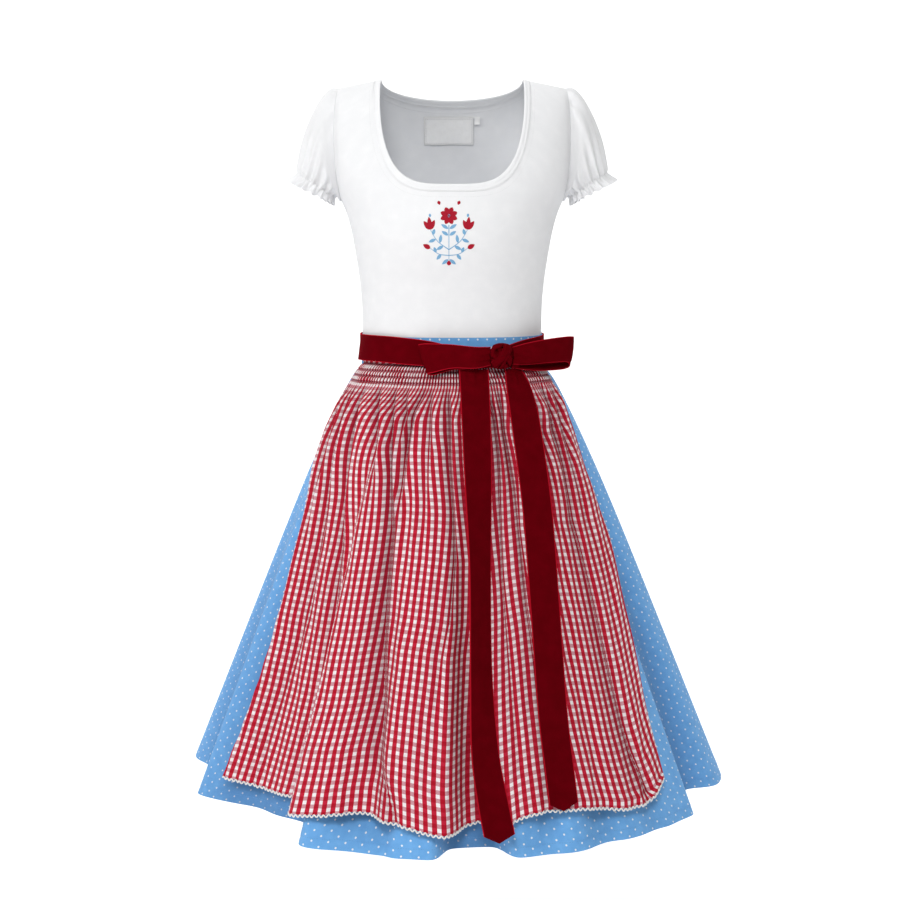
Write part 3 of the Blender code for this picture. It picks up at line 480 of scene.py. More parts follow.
def inkFinish(name, colour, shade):
    # screen print that the knit shows through
    finish, tree, shader = newFinish(name, roughness=0.72, specular=0.25)
    uv, u, v = clothCoords(tree)
    loops = knitLoops(tree, u, v)
    tone = sums(tree, "MULTIPLY_ADD", noise(tree, uv, 500.0, 3.0), 0.6, sums(tree, "MULTIPLY", loops, 0.4))
    put(tree, shader.inputs["Base Color"], blendColour(tree, ramp(tree, 0.2, 0.6, tone), shade, colour))
    bump(tree, shader, loops, 0.0002, 0.6)
    return finish


def velvetFinish(name, pile, lit, edge, halfWidth=0.021, border=0.0014, soft=0.0005):
    finish, tree, shader = newFinish(name, roughness=0.95, sheen=0.20, sheenRoughness=0.30,
                                     sheenTint=(1.0, 0.0, 0.04), specular=0.02)
    uv, u, v = clothCoords(tree)
    brushed = noise(tree, uv, 45.0, 4.0, 0.6)
    fine = noise(tree, uv, 1800.0, 2.0)
    tone = sums(tree, "MULTIPLY_ADD", brushed, 0.75, sums(tree, "MULTIPLY", fine, 0.25))
    nap = blendColour(tree, ramp(tree, 0.30, 0.80, tone), pile, lit)
    start = halfWidth - border
    selvedge = ramp(tree, start, start + soft, sums(tree, "ABSOLUTE", v))
    put(tree, shader.inputs["Base Color"], blendColour(tree, selvedge, nap, edge))
    bump(tree, shader, sums(tree, "ADD", fine, sums(tree, "MULTIPLY", brushed, 0.6)), 0.0004, 0.7)
    return finish


def tapeFinish(name, colour, shade):
    finish, tree, shader = newFinish(name, roughness=0.55, specular=0.4)
    uv, u, v = clothCoords(tree)
    weave = sums(tree, "MULTIPLY", wave(tree, u, 0.0006), wave(tree, v, 0.0010))
    mottle = noise(tree, uv, 120.0, 3.0)
    tone = ramp(tree, 0.3, 0.7, mottle)
    put(tree, shader.inputs["Base Color"], blendColour(tree, tone, shade, colour))
    bump(tree, shader, weave, 0.0002, 0.7)
    return finish


whiteJersey = jerseyFinish("white_jersey", (0.90, 0.90, 0.905), (0.82, 0.825, 0.835))
labelTape = tapeFinish("label_tape", (0.97, 0.965, 0.95), (0.93, 0.925, 0.91))
blueDotted = dottedFinish("blue_dotted_cotton", (0.200, 0.500, 0.900), (0.140, 0.390, 0.780),
                          (0.90, 0.93, 0.96))
redGingham = ginghamFinish("red_gingham", (0.420, 0.0010, 0.015), (0.560, 0.014, 0.044),
                           (0.500, 0.095, 0.150), (0.900, 0.870, 0.872))
whitePicot = threadFinish("white_picot", (0.90, 0.88, 0.85), (0.70, 0.67, 0.63))
whiteThread = threadFinish("white_thread", (0.80, 0.80, 0.80), (0.62, 0.62, 0.63))
greyThread = threadFinish("label_thread", (0.52, 0.52, 0.53), (0.38, 0.38, 0.40))
redThread = threadFinish("red_thread", (0.16, 0.002, 0.010), (0.07, 0.001, 0.004))
blueThread = threadFinish("blue_thread", (0.16, 0.40, 0.72), (0.08, 0.24, 0.50))
redInk = inkFinish("red_print", (0.430, 0.0020, 0.020), (0.330, 0.0015, 0.015))
blueInk = inkFinish("light_blue_print", (0.210, 0.440, 0.660), (0.160, 0.350, 0.560))
redVelvet = velvetFinish("dark_red_velvet", (0.095, 0.0, 0.0022), (0.130, 0.0, 0.0035), (0.40, 0.006, 0.016))
print("camera and finishes ready")


bodice = dict(underarm=-0.174, waist=-0.3685, neckHalf=0.1025, frontDrop=0.153, backDrop=0.025,
              binding=0.009, tip=0.1635, slope=0.20, chest={-1: 0.124, 1: 0.109},
              armhole={-1: 0.052, 1: 0.058}, widening=0.0065, power=2.3, jersey=0.0011, evened=0.040)
torso = np.array([  # height, half width, front, back
    (-0.374, 0.1320, 0.098, 0.090), (-0.327, 0.1325, 0.102, 0.088), (-0.291, 0.1355, 0.110, 0.090),
    (-0.247, 0.1420, 0.124, 0.098), (-0.215, 0.1480, 0.130, 0.104), (-0.189, 0.1555, 0.127, 0.108),
    (-0.174, 0.1620, 0.124, 0.109)])


def ridge(x):
    return -bodice["slope"] * np.maximum(np.abs(x) - bodice["neckHalf"], 0.0)


def chestHalf(z):
    rise = np.clip((z - bodice["underarm"]) / -bodice["underarm"], 0.0, 1.0)
    low = torso[-1, 1]
    return low + (bodice["tip"] - low) * rise + 4 * bodice["widening"] * rise * (1 - rise)


def bodiceSurface(side, across, z):
    # the depth is evened out near the underarm height, away from the seams
    here = bodiceForm(side, across, z)
    z = here[..., 2]
    near = np.exp(-(((z - bodice["underarm"]) / bodice["evened"]) ** 2))
    near = near * (1 - np.minimum(np.abs(across), 1.0) ** 8)
    spans = (-0.027, -0.018, -0.009, 0.009, 0.018, 0.027)
    even = (here[..., 1] + sum(bodiceForm(side, across, z + s)[..., 1] for s in spans)) / (1 + len(spans))
    here[..., 1] += near * (even - here[..., 1])
    return here


def bodiceForm(side, across, z):
    across, z = np.broadcast_arrays(np.asarray(across, float), np.asarray(z, float))
    power = bodice["power"]
    bulge = (1 - np.minimum(np.abs(across), 1.0) ** power) ** (1 / power)
    low = np.minimum(z, bodice["underarm"])
    above = z > bodice["underarm"]
    x = np.where(above, chestHalf(z), smoothTable(torso[:, 0], torso[:, 1], low)) * across
    rise = np.clip((z - bodice["underarm"]) / (ridge(x) - bodice["underarm"]), 0.0, 1.0)
    centre = bodice["chest"][side] * (1 - rise**2.4) ** 0.55
    edge = np.minimum(bodice["armhole"][side] * np.sqrt(4 * rise * (1 - rise)), centre)
    depth = smoothTable(torso[:, 0], torso[:, 2 if side < 0 else 3], low) * bulge
    return np.stack([x, side * np.where(above, edge + (centre - edge) * bulge, depth), z], axis=-1)


def bodiceNormal(side, x, z):
    small = 0.0004
    inward = -np.sign(x) * small

    def depth(x, z):
        return bodiceSurface(side, x / chestHalf(z), z)[..., 1]

    here = depth(x, z)
    slopeX = (depth(x + inward, z) - here) / np.where(inward == 0, 1.0, inward)
    slopeZ = (here - depth(x, z - small)) / small
    return unit(side * np.stack([-slopeX, np.ones_like(slopeX), -slopeZ], axis=-1))


def neckline(side, x, beyond):
    half = bodice["neckHalf"] + beyond
    share = np.minimum(np.abs(x) / half, 1.0)
    curve = (1 - share**3.8) ** (1 / 2.7) if side < 0 else np.sqrt(1 - share**2)
    return ridge(half) - (bodice["frontDrop" if side < 0 else "backDrop"] + beyond) * curve


def bodicePanel(name, side, scoopSteps, strapSteps, lowRows, highRows):
    beyond = bodice["binding"] + 0.0002
    neck = bodice["neckHalf"] + beyond
    scoop = neck * np.sin(np.linspace(-math.pi / 2, math.pi / 2, scoopSteps + 1))
    strap = np.linspace(neck, bodice["tip"], strapSteps + 1)[1:]
    x = np.concatenate([-strap[::-1], scoop, strap])
    top = np.where(np.abs(x) <= neck, neckline(side, x, beyond), ridge(x))
    across = np.clip(x / chestHalf(top), -1, 1)
    across[0], across[-1] = -1.0, 1.0
    lower = np.linspace(bodice["waist"], bodice["underarm"], lowRows + 1)
    rise = 1 - (1 - np.linspace(0, 1, highRows + 1)[1:]) ** 1.6
    heights = np.array([np.full(len(x), z) for z in lower]
                       + [bodice["underarm"] + (top - bodice["underarm"]) * r for r in rise])
    outer = bodiceSurface(side, across[None, :], heights)
    normals = turnedOut(gridNormals(outer), outer, (0, 0, bodice["underarm"]))
    scooped = np.abs(x) < neck + 1e-9
    normals[-1, scooped] = bodiceNormal(side, x[scooped], top[scooped])
    seam = np.zeros(normals.shape[:2], bool)
    seam[:, 0] = seam[:, -1] = True
    seam[-1, np.abs(x) > neck - 1e-9] = True
    normals[seam & (np.abs(outer[..., 1]) < 1e-6), 1] = 0.0
    normals = unit(normals)
    shift = np.array([0.0, side * halfGap, 0.0])
    length = rowLengths(outer)
    uv = np.stack([length - length[:, -1:] / 2, outer[..., 2]], axis=-1)
    inner = outer - bodice["jersey"] * normals + shift
    return clothWall(name, outer + shift, inner, whiteJersey, uv=uv)


def bindingRings(path, frontSteps, backSteps):
    # rings round the neck opening, each so far beyond its edge and lifted so far off the cloth
    rings = []
    for beyond, lift in path:
        ring = []
        for side, steps in ((-1, frontSteps), (1, backSteps)):
            turn = np.linspace(-math.pi / 2, math.pi / 2, steps + 1)[:-1]
            x = (bodice["neckHalf"] + beyond) * np.sin(turn) * -side
            z = neckline(side, x, beyond)
            ring.append(bodiceSurface(side, x / chestHalf(z), z)
                        + (lift - bodice["jersey"] / 2 + 0.0001) * bodiceNormal(side, x, z))
        rings.append(np.concatenate(ring))
    return np.array(rings)


def neckBinding(frontSteps, backSteps):
    # folded strip round the neck opening, rounded over its free edge
    width, half, split = bodice["binding"], 0.0011, 0.00002
    turns = np.linspace(-0.5 * math.pi, 0.5 * math.pi, 5)
    rolled = [(half - half * math.cos(t), half * math.sin(t)) for t in turns[2:]]
    outerSide = rolled + [(half + (width - half) * s, half) for s in (0.25, 0.5, 0.75, 1.0)]
    innerSide = [(beyond, -lift - split) for beyond, lift in outerSide]
    return clothWall("neck_binding_cloth", bindingRings(outerSide, frontSteps, backSteps),
                     bindingRings(innerSide, frontSteps, backSteps), whiteJersey, closed=True, sharpAt=80)


bodiceFront = bodicePanel("bodice_front_cloth", -1, scoopSteps=120, strapSteps=16, lowRows=44, highRows=44)
bodiceBack = bodicePanel("bodice_back_cloth", 1, scoopSteps=72, strapSteps=16, lowRows=40, highRows=44)
neckRoll = neckBinding(240, 160)
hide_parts("bodice_front")
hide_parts("bodice_back")
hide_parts("neck_binding")


def insideBack(x, z, inward):
    back = bodiceSurface(1, x / chestHalf(z), z)
    return back - np.asarray(bodice["jersey"] + inward)[..., None] * bodiceNormal(1, x, z)


label = dict(width=0.0755, tall=0.0420, x=-0.0047, z=-0.0670, pink=0.0019, clear=0.0009, tape=0.0006,
             swell=0.0003, inset=0.0032, threadLift=0.00075, tabWidth=0.0080, tabTall=0.0100,
             tabX=0.0380, tabZ=-0.0520)


def neckLabel():
    # blank tape with pinked edges
    cols, rows = 51, 29
    x = np.linspace(-0.5, 0.5, cols)[None, :] * label["width"] * np.ones((rows, 1))
    z = np.linspace(0.5, -0.5, rows)[:, None] * label["tall"] * np.ones((1, cols))
    teeth = label["pink"] * (np.arange(cols) % 2)
    z[0] -= teeth
    z[-1] += teeth
    teeth = label["pink"] * (np.arange(rows) % 2)
    x[1:-1, 0] += teeth[1:-1]
    x[1:-1, -1] -= teeth[1:-1]
    uv = np.stack([x, z], axis=-1)
    lift = 0.0004 * np.sin(x * 95 + 1) * np.cos(z * 140) * (1 - (2 * x / label["width"]) ** 2)
    x, z = x + label["x"], z + label["z"]
    near = insideBack(x, z, label["clear"])
    far = insideBack(x, z, label["clear"] + label["tape"] + label["swell"] + lift)
    return clothWall("neck_label_tape", far, near, labelTape, uv=uv, sharpAt=50)


def sizeTab():
    x, z = np.meshgrid(np.linspace(-0.5, 0.5, 9) * label["tabWidth"],
                       np.linspace(0.5, -0.5, 13) * label["tabTall"])
    uv = np.stack([x, z], axis=-1)
    fold = 0.0007 * np.exp(-(((z + 0.5 * label["tabTall"]) / 0.0015) ** 2))
    x, z = x + label["tabX"], z + label["tabZ"]
    far = insideBack(x, z, label["clear"] + label["tape"] + label["swell"] + fold)
    near = insideBack(x, z, label["clear"])
    return clothWall("size_tab_tape", far, near, labelTape, uv=uv, sharpAt=50)


def labelEdge():
    half, tall = label["width"] / 2 - label["inset"], label["tall"] / 2 - label["inset"]
    corners = np.array([(-half, tall), (half, tall), (half, -tall), (-half, -tall), (-half, tall)])
    x = np.interp(np.linspace(0, 4, 161), range(5), corners[:, 0]) + label["x"]
    z = np.interp(np.linspace(0, 4, 161), range(5), corners[:, 1]) + label["z"]
    lift = label["clear"] + label["tape"] + label["threadLift"]
    return insideBack(x, z, lift), -bodiceNormal(1, x, z)


def neckSeam(side, beyond, lift, inside=False):
    turn = np.linspace(-0.497 * math.pi, 0.497 * math.pi, 161)
    x = (bodice["neckHalf"] + beyond) * np.sin(turn)
    z = neckline(side, x, beyond)
    normal = bodiceNormal(side, x, z) * (-1 if inside else 1)
    return bodiceSurface(side, x / chestHalf(z), z) + (lift + bodice["jersey"] * inside) * normal, normal


tape = [neckLabel(), sizeTab()]
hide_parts("neck_label")
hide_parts("size_tab")
onCloth, onBinding = (0.0150, 0.0001), (0.0076, 0.0014)      # beyond the neck's edge, and lift
neckSeams = [neckSeam(-1, *onCloth), neckSeam(1, *onCloth), neckSeam(-1, *onBinding),
             neckSeam(1, *onBinding), neckSeam(1, *onCloth, inside=True)]
neckStitches = sewStitches("neck_stitches", *zip(*neckSeams), spacing=0.0026, length=0.0019,
                           thread=0.00042, finish=whiteThread)
labelStitches = sewStitches("label_stitches", *zip(labelEdge()), spacing=0.0026, length=0.0017,
                            thread=0.00060, finish=greyThread)


def onFront(x, z, lift):
    half = np.where(z > bodice["underarm"], chestHalf(z),
                    smoothTable(torso[:, 0], torso[:, 1], np.minimum(z, bodice["underarm"])))
    here = bodiceSurface(-1, x / half, z)
    step = 0.0005
    aside, down = bodiceSurface(-1, (x + step) / half, z), bodiceSurface(-1, x / half, z - step)
    return here + lift * unit(np.cross(aside - here, here - down))


motif = dict(x=-0.0045, z=-0.2180, lift=0.00012, ink=0.00016)


def printed(x, z):
    uv = np.stack([x, z], axis=-1)
    x, z = x + motif["x"], z + motif["z"]
    return wallParts(onFront(x, z, motif["lift"] + motif["ink"]), onFront(x, z, motif["lift"]), uv=uv)


def petal(x, z, turned, length, width, blunt=1.0):
    # a leaf from its foot at x, z, turned degrees clockwise from straight up
    s = np.linspace(0, 1, 13)[:, None]
    t = np.linspace(-1, 1, 5)[None, :]
    wide = np.maximum(np.sin(math.pi * s**blunt) ** 0.75, 0.05) * width / 2
    angle = math.radians(turned)
    along, aside = length * s + 0 * t, wide * t
    return printed(x + along * math.sin(angle) + aside * math.cos(angle),
                   z + along * math.cos(angle) - aside * math.sin(angle))


def stem(points, width):
    share = np.linspace(0, 1, 25)
    along = np.linspace(0, 1, len(points))
    x, z = (smoothTable(along, [point[k] for point in points], share) for k in (0, 1))
    side = unit(np.stack([np.gradient(z), -np.gradient(x)], axis=-1))
    t = np.linspace(-0.5, 0.5, 3)[None, :] * width * (1 - 0.5 * share[:, None])
    return printed(x[:, None] + side[:, :1] * t, z[:, None] + side[:, 1:] * t)


def folkPrint():
    # a plain symmetrical sprig: a rosette, two tulips, buds and leaves
    red = [petal(0, 0.021, 45 * k + 22.5, 0.0125, 0.0068, 1.5) for k in range(8)]
    blue = [petal(0, 0.021 - 0.0024, 0, 0.0048, 0.0048),
            stem([(0, 0.008), (0, -0.010), (0, -0.040)], 0.0014)]
    for hand in (-1, 1):
        blue += [stem([(0, -0.026), (hand * 0.016, -0.014), (hand * 0.026, 0.002)], 0.0013),
                 stem([(0, -0.034), (hand * 0.014, -0.032), (hand * 0.026, -0.024)], 0.0012)]
        red += [petal(hand * 0.0262, 0.002, hand * turned, 0.0145, 0.0068, 0.8) for turned in (-26, 38)]
        red += [petal(hand * 0.0262, 0.003, hand * 6, 0.0165, 0.0062, 0.9),
                petal(hand * 0.0262, -0.024, hand * 62, 0.0110, 0.0066, 0.8)]
        for x, z, turned, length in ((0.008, -0.021, 118, 0.0105), (0.0125, -0.0165, -8, 0.0115),
                                     (0.0185, -0.0115, 112, 0.0105), (0.0225, -0.0055, -18, 0.0085),
                                     (0.011, -0.0325, 140, 0.0095), (0.018, -0.0300, 20, 0.0080),
                                     (0.001, 0.003, 58, 0.0115), (0.001, -0.006, 58, 0.0105),
                                     (0.001, -0.0395, 128, 0.0110)):
            blue.append(petal(hand * x, z, hand * turned, length, 0.0046, 0.9))
        blue.append(petal(hand * 0.0262, 0.019, hand * 6, 0.0050, 0.0034))
        red.append(petal(hand * 0.0125, 0.036, hand * 25, 0.0060, 0.0046, 1.2))
    red.append(petal(0, -0.0405, 180, 0.0075, 0.0062, 1.4))
    return joinedWalls("bodice_print_red", red, redInk), joinedWalls("bodice_print_blue", blue, blueInk)


prints = folkPrint()
print("bodice, label and print made")


puff = dict(columns=288, rows=64, cuffCentre=(0.1978, 0.003, -0.150), cuffAcross=(0.0258, 0.0, 0.0180),
            cuffDepth=0.052, cuffAxis=(0.572, 0.0, -0.820), frill=0.019, cloth=0.0009,
            capWaves=12, lowWaves=17, fineWaves=34, frillWaves=19, capFold=0.0036, gathered=0.0042,
            tight=0.0011, swing=0.0040, fineSwing=0.0012, flare=0.0045, dip=0.0016, clearOfCuff=0.0006,
            pattern=0.40)


def puffSleeve(name, hand, seed):
    rng = np.random.default_rng(seed)
    turn = np.linspace(0, 2 * math.pi, puff["columns"], endpoint=False)
    rise = (1 + np.cos(turn)) / 2
    front = np.sin(turn) > 0
    edge = np.where(front, -bodice["armhole"][-1], bodice["armhole"][1]) * np.sqrt(4 * rise * (1 - rise))
    height = bodice["underarm"] + (ridge(bodice["tip"]) - bodice["underarm"]) * rise
    armhole = np.stack([chestHalf(height) + 0.0002, edge, height], axis=-1)
    centre, acrossDir, axis = (np.array(puff[k]) for k in ("cuffCentre", "cuffAcross", "cuffAxis"))
    forward = np.array([0.0, 1.0, 0.0])
    cosines, sines = np.cos(turn)[:, None], np.sin(turn)[:, None]
    radial = cosines * acrossDir / np.linalg.norm(acrossDir) - sines * forward
    cuff = centre + cosines * acrossDir - (puff["cuffDepth"] * np.sin(turn))[:, None] * forward
    size = (0.20 + 0.80 * rise)[:, None]
    leave = np.stack([0.030 + 0 * rise, -0.016 * np.sin(turn), 0.018 * rise - 0.016], axis=-1)
    first, second = armhole + leave * size, cuff - 0.040 * size * axis + 0.025 * size * radial
    # gathers: uneven waves round the arm, different at the cap and at the cuff
    wobble = sum(rng.uniform(0.15, 0.45) * np.sin(k * turn + rng.uniform(0, anyPhase)) for k in (1, 2, 3, 5))
    cap = np.cos(puff["capWaves"] * turn + wobble)
    low = np.cos(puff["lowWaves"] * turn + 1.6 * wobble)
    fine = np.cos(puff["fineWaves"] * turn + 2.2 * wobble)
    rows = []
    for w in 1 - (1 - np.linspace(0, 1, puff["rows"])) ** 1.15:
        curve = ((1 - w) ** 3 * armhole + 3 * w * (1 - w) ** 2 * first + 3 * w * w * (1 - w) * second
                 + w**3 * cuff)
        onCap = smoothStep(0.0, 0.08, w) * math.exp(-w / 0.30) * np.clip(np.cos(turn) + 0.2, 0, 1)
        gathered = puff["gathered"] * smoothStep(0.30, 0.93, w) * (0.35 + 0.65 * rise)
        tight = puff["tight"] * smoothStep(0.86, 1.0, w)
        rows.append(curve + (cap * puff["capFold"] * onCap + low * gathered + fine * tight)[:, None] * radial)
    ruffle = 0.55 + 0.45 * rise
    frillWave = puff["frillWaves"] * turn + 2.4 * wobble
    for share in (0.10, 0.22, 0.36, 0.52, 0.68, 0.84, 1.0):
        drop = cuff + (puff["frill"] * share * ruffle)[:, None] * axis
        swing = puff["swing"] * share * np.cos(frillWave) + puff["fineSwing"] * fine * (1 - 0.5 * share)
        flare = puff["flare"] * share**1.5 * ruffle
        dip = puff["dip"] * share * np.sin(frillWave)
        out = flare + swing + puff["clearOfCuff"]
        rows.append(drop + out[:, None] * radial + dip[:, None] * axis)
    outer = np.array(rows) * np.array([hand, 1.0, 1.0])
    inside = np.array([hand * centre[0], centre[1], centre[2] * 0.75])
    normals = turnedOut(gridNormals(outer, closed=True), outer, inside)
    down = np.concatenate([[0.0], np.cumsum(np.linalg.norm(np.diff(outer[:, 0], axis=0), axis=-1))])
    u = np.linspace(0, puff["pattern"], puff["columns"] + 1)
    uv = np.stack(np.broadcast_arrays(u, down[:, None]), axis=-1)
    sewnRows = (puff["rows"] - 4, puff["rows"])
    ups = [np.concatenate([normals[k], normals[k, :1]]) for k in sewnRows]
    rings = [np.concatenate([outer[k], outer[k, :1]]) + 0.0001 * up for k, up in zip(sewnRows, ups)]
    sewStitches(name.replace("cloth", "stitches"), rings, ups, spacing=0.0027, length=0.0018,
                thread=0.00040, finish=whiteThread)
    return clothWall(name, outer, outer - puff["cloth"] * normals, whiteJersey, closed=True, uv=uv)


sleeves = [puffSleeve("sleeve_left_cloth", -1, seed=4), puffSleeve("sleeve_right_cloth", 1, seed=11)]
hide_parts("sleeve_left")
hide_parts("sleeve_right")
print("sleeves made")


skirt = dict(top=-0.4063, hem=-1.025, hemRadius=0.405, flare=-0.416, waistHalf=0.1335,
             waistDepth={-1: 0.0985, 1: 0.0925}, ribbonPuff=0.0055, hipPuff=0.016, gathers=28,
             gatherDepth=0.0016, cotton=0.0011, softFolds=0.0019, softWaves=(9, 13, 16, 20, 25, 31),
             fullFold=0.045, foldShade=0.50, hemSeam=-1.013)
skirtFolds = [  # start, end, softness at the start and the end, depth, share left at the hem
    (-92, -72, 4, 1.6, 0.044, 1), (-63, -32.5, 8, 1.6, 0.072, 1), (-25, -12, 3.5, 1.2, 0.028, 0.3),
    (-2, 10.5, 1.2, 1.2, 0.046, 1), (17, 21, 1.8, 1.8, 0.016, 0.2), (28, 34, 2.5, 2, 0.017, 0.55),
    (41, 46, 2.5, 2, 0.014, 0.6), (58.5, 73, 1.5, 2.2, 0.048, 1), (96, 112, 3, 2, 0.050, 1),
    (128, 142, 2, 4, 0.056, 1), (155, 171, 4, 1.8, 0.050, 1), (184, 199, 1.8, 3, 0.054, 1),
    (213, 227, 3, 2, 0.058, 1), (239, 251, 2.2, 3, 0.042, 1)]


def ringRadius(around, half, front, back):
    angle = np.radians(around)
    depth = np.where(np.cos(angle) > 0, front, back)
    power = bodice["power"]
    return (np.abs(np.sin(angle) / half) ** power + np.abs(np.cos(angle) / depth) ** power) ** (-1 / power)


def waistRadius(around):
    return ringRadius(around, skirt["waistHalf"], skirt["waistDepth"][-1], skirt["waistDepth"][1])


def torsoRadius(around, z):
    return ringRadius(around, *(smoothTable(torso[:, 0], torso[:, k], z) for k in (1, 2, 3)))


def skirtRadius(around, z, paintedShade=False):
    drop = np.clip((skirt["flare"] - z) / (skirt["flare"] - skirt["hem"]), 0.0, 1.0)
    around = np.asarray(around, float)
    folds = np.zeros(np.broadcast(around, drop).shape)
    for start, end, startSoft, endSoft, depth, hemShare in skirtFolds:
        middle = (start + end) / 2
        near = (around - middle + 180) % 360 - 180 + middle
        opened = (1 + np.tanh((near - start) / startSoft)) / 2
        shape = opened * (1 + np.tanh((end - near) / endSoft)) / 2
        folds = folds + depth * shape * (1 - (1 - hemShare) * smoothStep(0.93, 1.0, drop))
    # asked for the shade mask instead, this gives the share of full fold depth, painted as shade in the
    # recessed folds
    if paintedShade:
        return np.minimum(folds / skirt["fullFold"], 1.0) * smoothStep(0.1, 0.7, drop)
    top = waistRadius(around)
    rise = 1 - np.exp(-drop / 0.012)
    puffed = skirt["ribbonPuff"] * rise + skirt["hipPuff"] * (1 - np.exp(-drop / 0.15))
    angle = np.radians(around)
    gathers = skirt["gatherDepth"] * np.cos(skirt["gathers"] * angle) * rise * np.exp(-drop / 0.12)
    soft = sum(np.sin(count * angle + 2.1 * count + 1.3 * (count % 3 - 1) * drop)
               for count in skirt["softWaves"])
    soft = skirt["softFolds"] * soft / math.sqrt(len(skirt["softWaves"])) * smoothStep(0.0, 0.35, drop)
    cone = top + (skirt["hemRadius"] - top) * drop
    return cone + puffed * (1 - drop) + gathers + soft - folds * drop**1.15


def evenColumns(radiusAt, start, end, steps):
    dense = np.linspace(start, end, 2881)
    length = rowLengths(polar(radiusAt(dense), dense, 0.0)[None])[0]
    return np.interp(np.linspace(0, length[-1], steps + 1), length, dense)


def goreUv(outer, middles):
    # each gore's pattern runs straight down its own middle column
    along = rowLengths(outer)
    down = rowDrops(outer)
    cols = outer.shape[1]
    edges = [0] + [(a + b) // 2 for a, b in zip(middles, middles[1:])] + [cols - 1]
    reference = np.zeros((outer.shape[0], cols - 1))
    for k, middle in enumerate(middles):
        reference[:, edges[k]:edges[k + 1]] = along[:, middle:middle + 1]
    v = np.broadcast_to(down[:, None], reference.shape)
    return tuple(np.stack([edge - reference, v], axis=-1) for edge in (along[:, :-1], along[:, 1:]))


def skirtPanel(name, start, end, steps, rows):
    around = evenColumns(lambda a: skirtRadius(a, skirt["hem"]), start, end, steps)
    drop = np.concatenate([[0.0, 0.004, 0.010, 0.018], np.linspace(0.03, 1, rows)])
    z = np.concatenate([[skirt["top"]], skirt["flare"] + (skirt["hem"] - skirt["flare"]) * drop])[:, None]
    outer = polar(skirtRadius(around[None, :], z), around[None, :], z)
    normals = turnedOut(gridNormals(outer), outer, (0, 0, skirt["hem"] / 2))
    normals[:, [0, -1], 1] = 0.0
    normals = unit(normals)
    inner = outer - skirt["cotton"] * normals
    inner[0, :, 2], inner[-1, :, 2] = outer[0, :, 2], outer[-1, :, 2]
    shift = np.array([0.0, -halfGap if start < 0 else halfGap, 0.0])
    middles = [k * steps // 8 for k in (1, 3, 5, 7)]
    # painted shade: the dotted cotton darkens in the recessed folds by this share
    deep = skirt["foldShade"] * skirtRadius(around[None, :], z, paintedShade=True)
    return clothWall(name, outer + shift, inner + shift, blueDotted, uv=goreUv(outer, middles), deep=deep)


def waistband(steps):
    around = np.linspace(-180, 180, steps, endpoint=False)
    z = np.linspace(bodice["waist"] - 0.0001, skirt["top"] + 0.0001, 9)[:, None]
    radius = waistRadius(around)[None, :] + 0 * z
    outer = polar(radius, around[None, :], z)
    length = rowLengths(outer, closed=True)
    uv = np.stack([np.broadcast_to(z, length.shape), length], axis=-1)
    inner = polar(radius - skirt["cotton"], around[None, :], z)
    return clothWall("waistband_cloth", outer, inner, blueDotted, closed=True, uv=uv)


skirtFront = skirtPanel("skirt_front_cloth", -90, 90, steps=480, rows=72)
skirtBack = skirtPanel("skirt_back_cloth", 90, 270, steps=400, rows=72)
band = waistband(240)
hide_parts("skirt_front")
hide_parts("skirt_back")
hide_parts("skirt_waistband")


def skirtSeam(z, start, end, lift=0.0002):
    around = evenColumns(lambda a: skirtRadius(a, z), start, end, 900)
    points = polar(skirtRadius(around, z) + lift, around, z)
    along = unit(np.gradient(points, axis=0))
    return points, unit(np.cross(along, np.array([0.0, 0.0, 1.0])))


hemSeams = [skirtSeam(skirt["hemSeam"], start, end) for start, end in ((-89.5, 89.5), (90.5, 269.5))]
hemStitches = sewStitches("skirt_hem_stitches", *zip(*hemSeams), spacing=0.0034, length=0.0024,
                          thread=0.00045, finish=blueThread)
print("skirt made")


# Radius tables of what each layer lies on: skirt, then apron, sash, and last the tails and the bow.
tableStep = 0.5
tableAngles = np.arange(-180.0, 180.0, tableStep)
tableHeights = np.linspace(-0.360, -1.040, 171)
layerGap = 0.0006


def tabulated(radius):
    around, z = np.meshgrid(tableAngles, tableHeights)
    return radius(around, z)


def lookUp(table, around, z):
    turn = ((np.asarray(around) + 180.0) % 360.0) / tableStep
    step = tableHeights[0] - tableHeights[1]
    level = np.clip((tableHeights[0] - np.asarray(z)) / step, 0, len(tableHeights) - 1.001)
    turn, level = np.broadcast_arrays(turn, level)
    c, r = np.floor(turn).astype(int), np.floor(level).astype(int)
    s, t = turn - c, level - r
    c, after = c % len(tableAngles), (c + 1) % len(tableAngles)
    return ((table[r, c] * (1 - s) + table[r, after] * s) * (1 - t)
            + (table[r + 1, c] * (1 - s) + table[r + 1, after] * s) * t)


def laidOver(table, reach, rise, soften):
    # a cloth spans what lies within reach columns and rise rows of it
    wide = table
    for shift in range(-reach, reach + 1):
        wide = np.maximum(wide, np.roll(table, shift, axis=1))
    tall = wide
    for shift in range(1, rise + 1):
        tall = np.maximum(tall, np.concatenate([wide[shift:], wide[-shift:]]))
        tall = np.maximum(tall, np.concatenate([wide[:shift], wide[:-shift]]))
    shifts = range(-soften, soften + 1)
    return sum(np.roll(tall, shift, axis=1) for shift in shifts) / len(shifts) + layerGap


def bodyRadius(around, z):
    body = np.where(z > bodice["waist"], torsoRadius(around, z), waistRadius(around))
    return np.where(z < skirt["top"], skirtRadius(around, z), body)


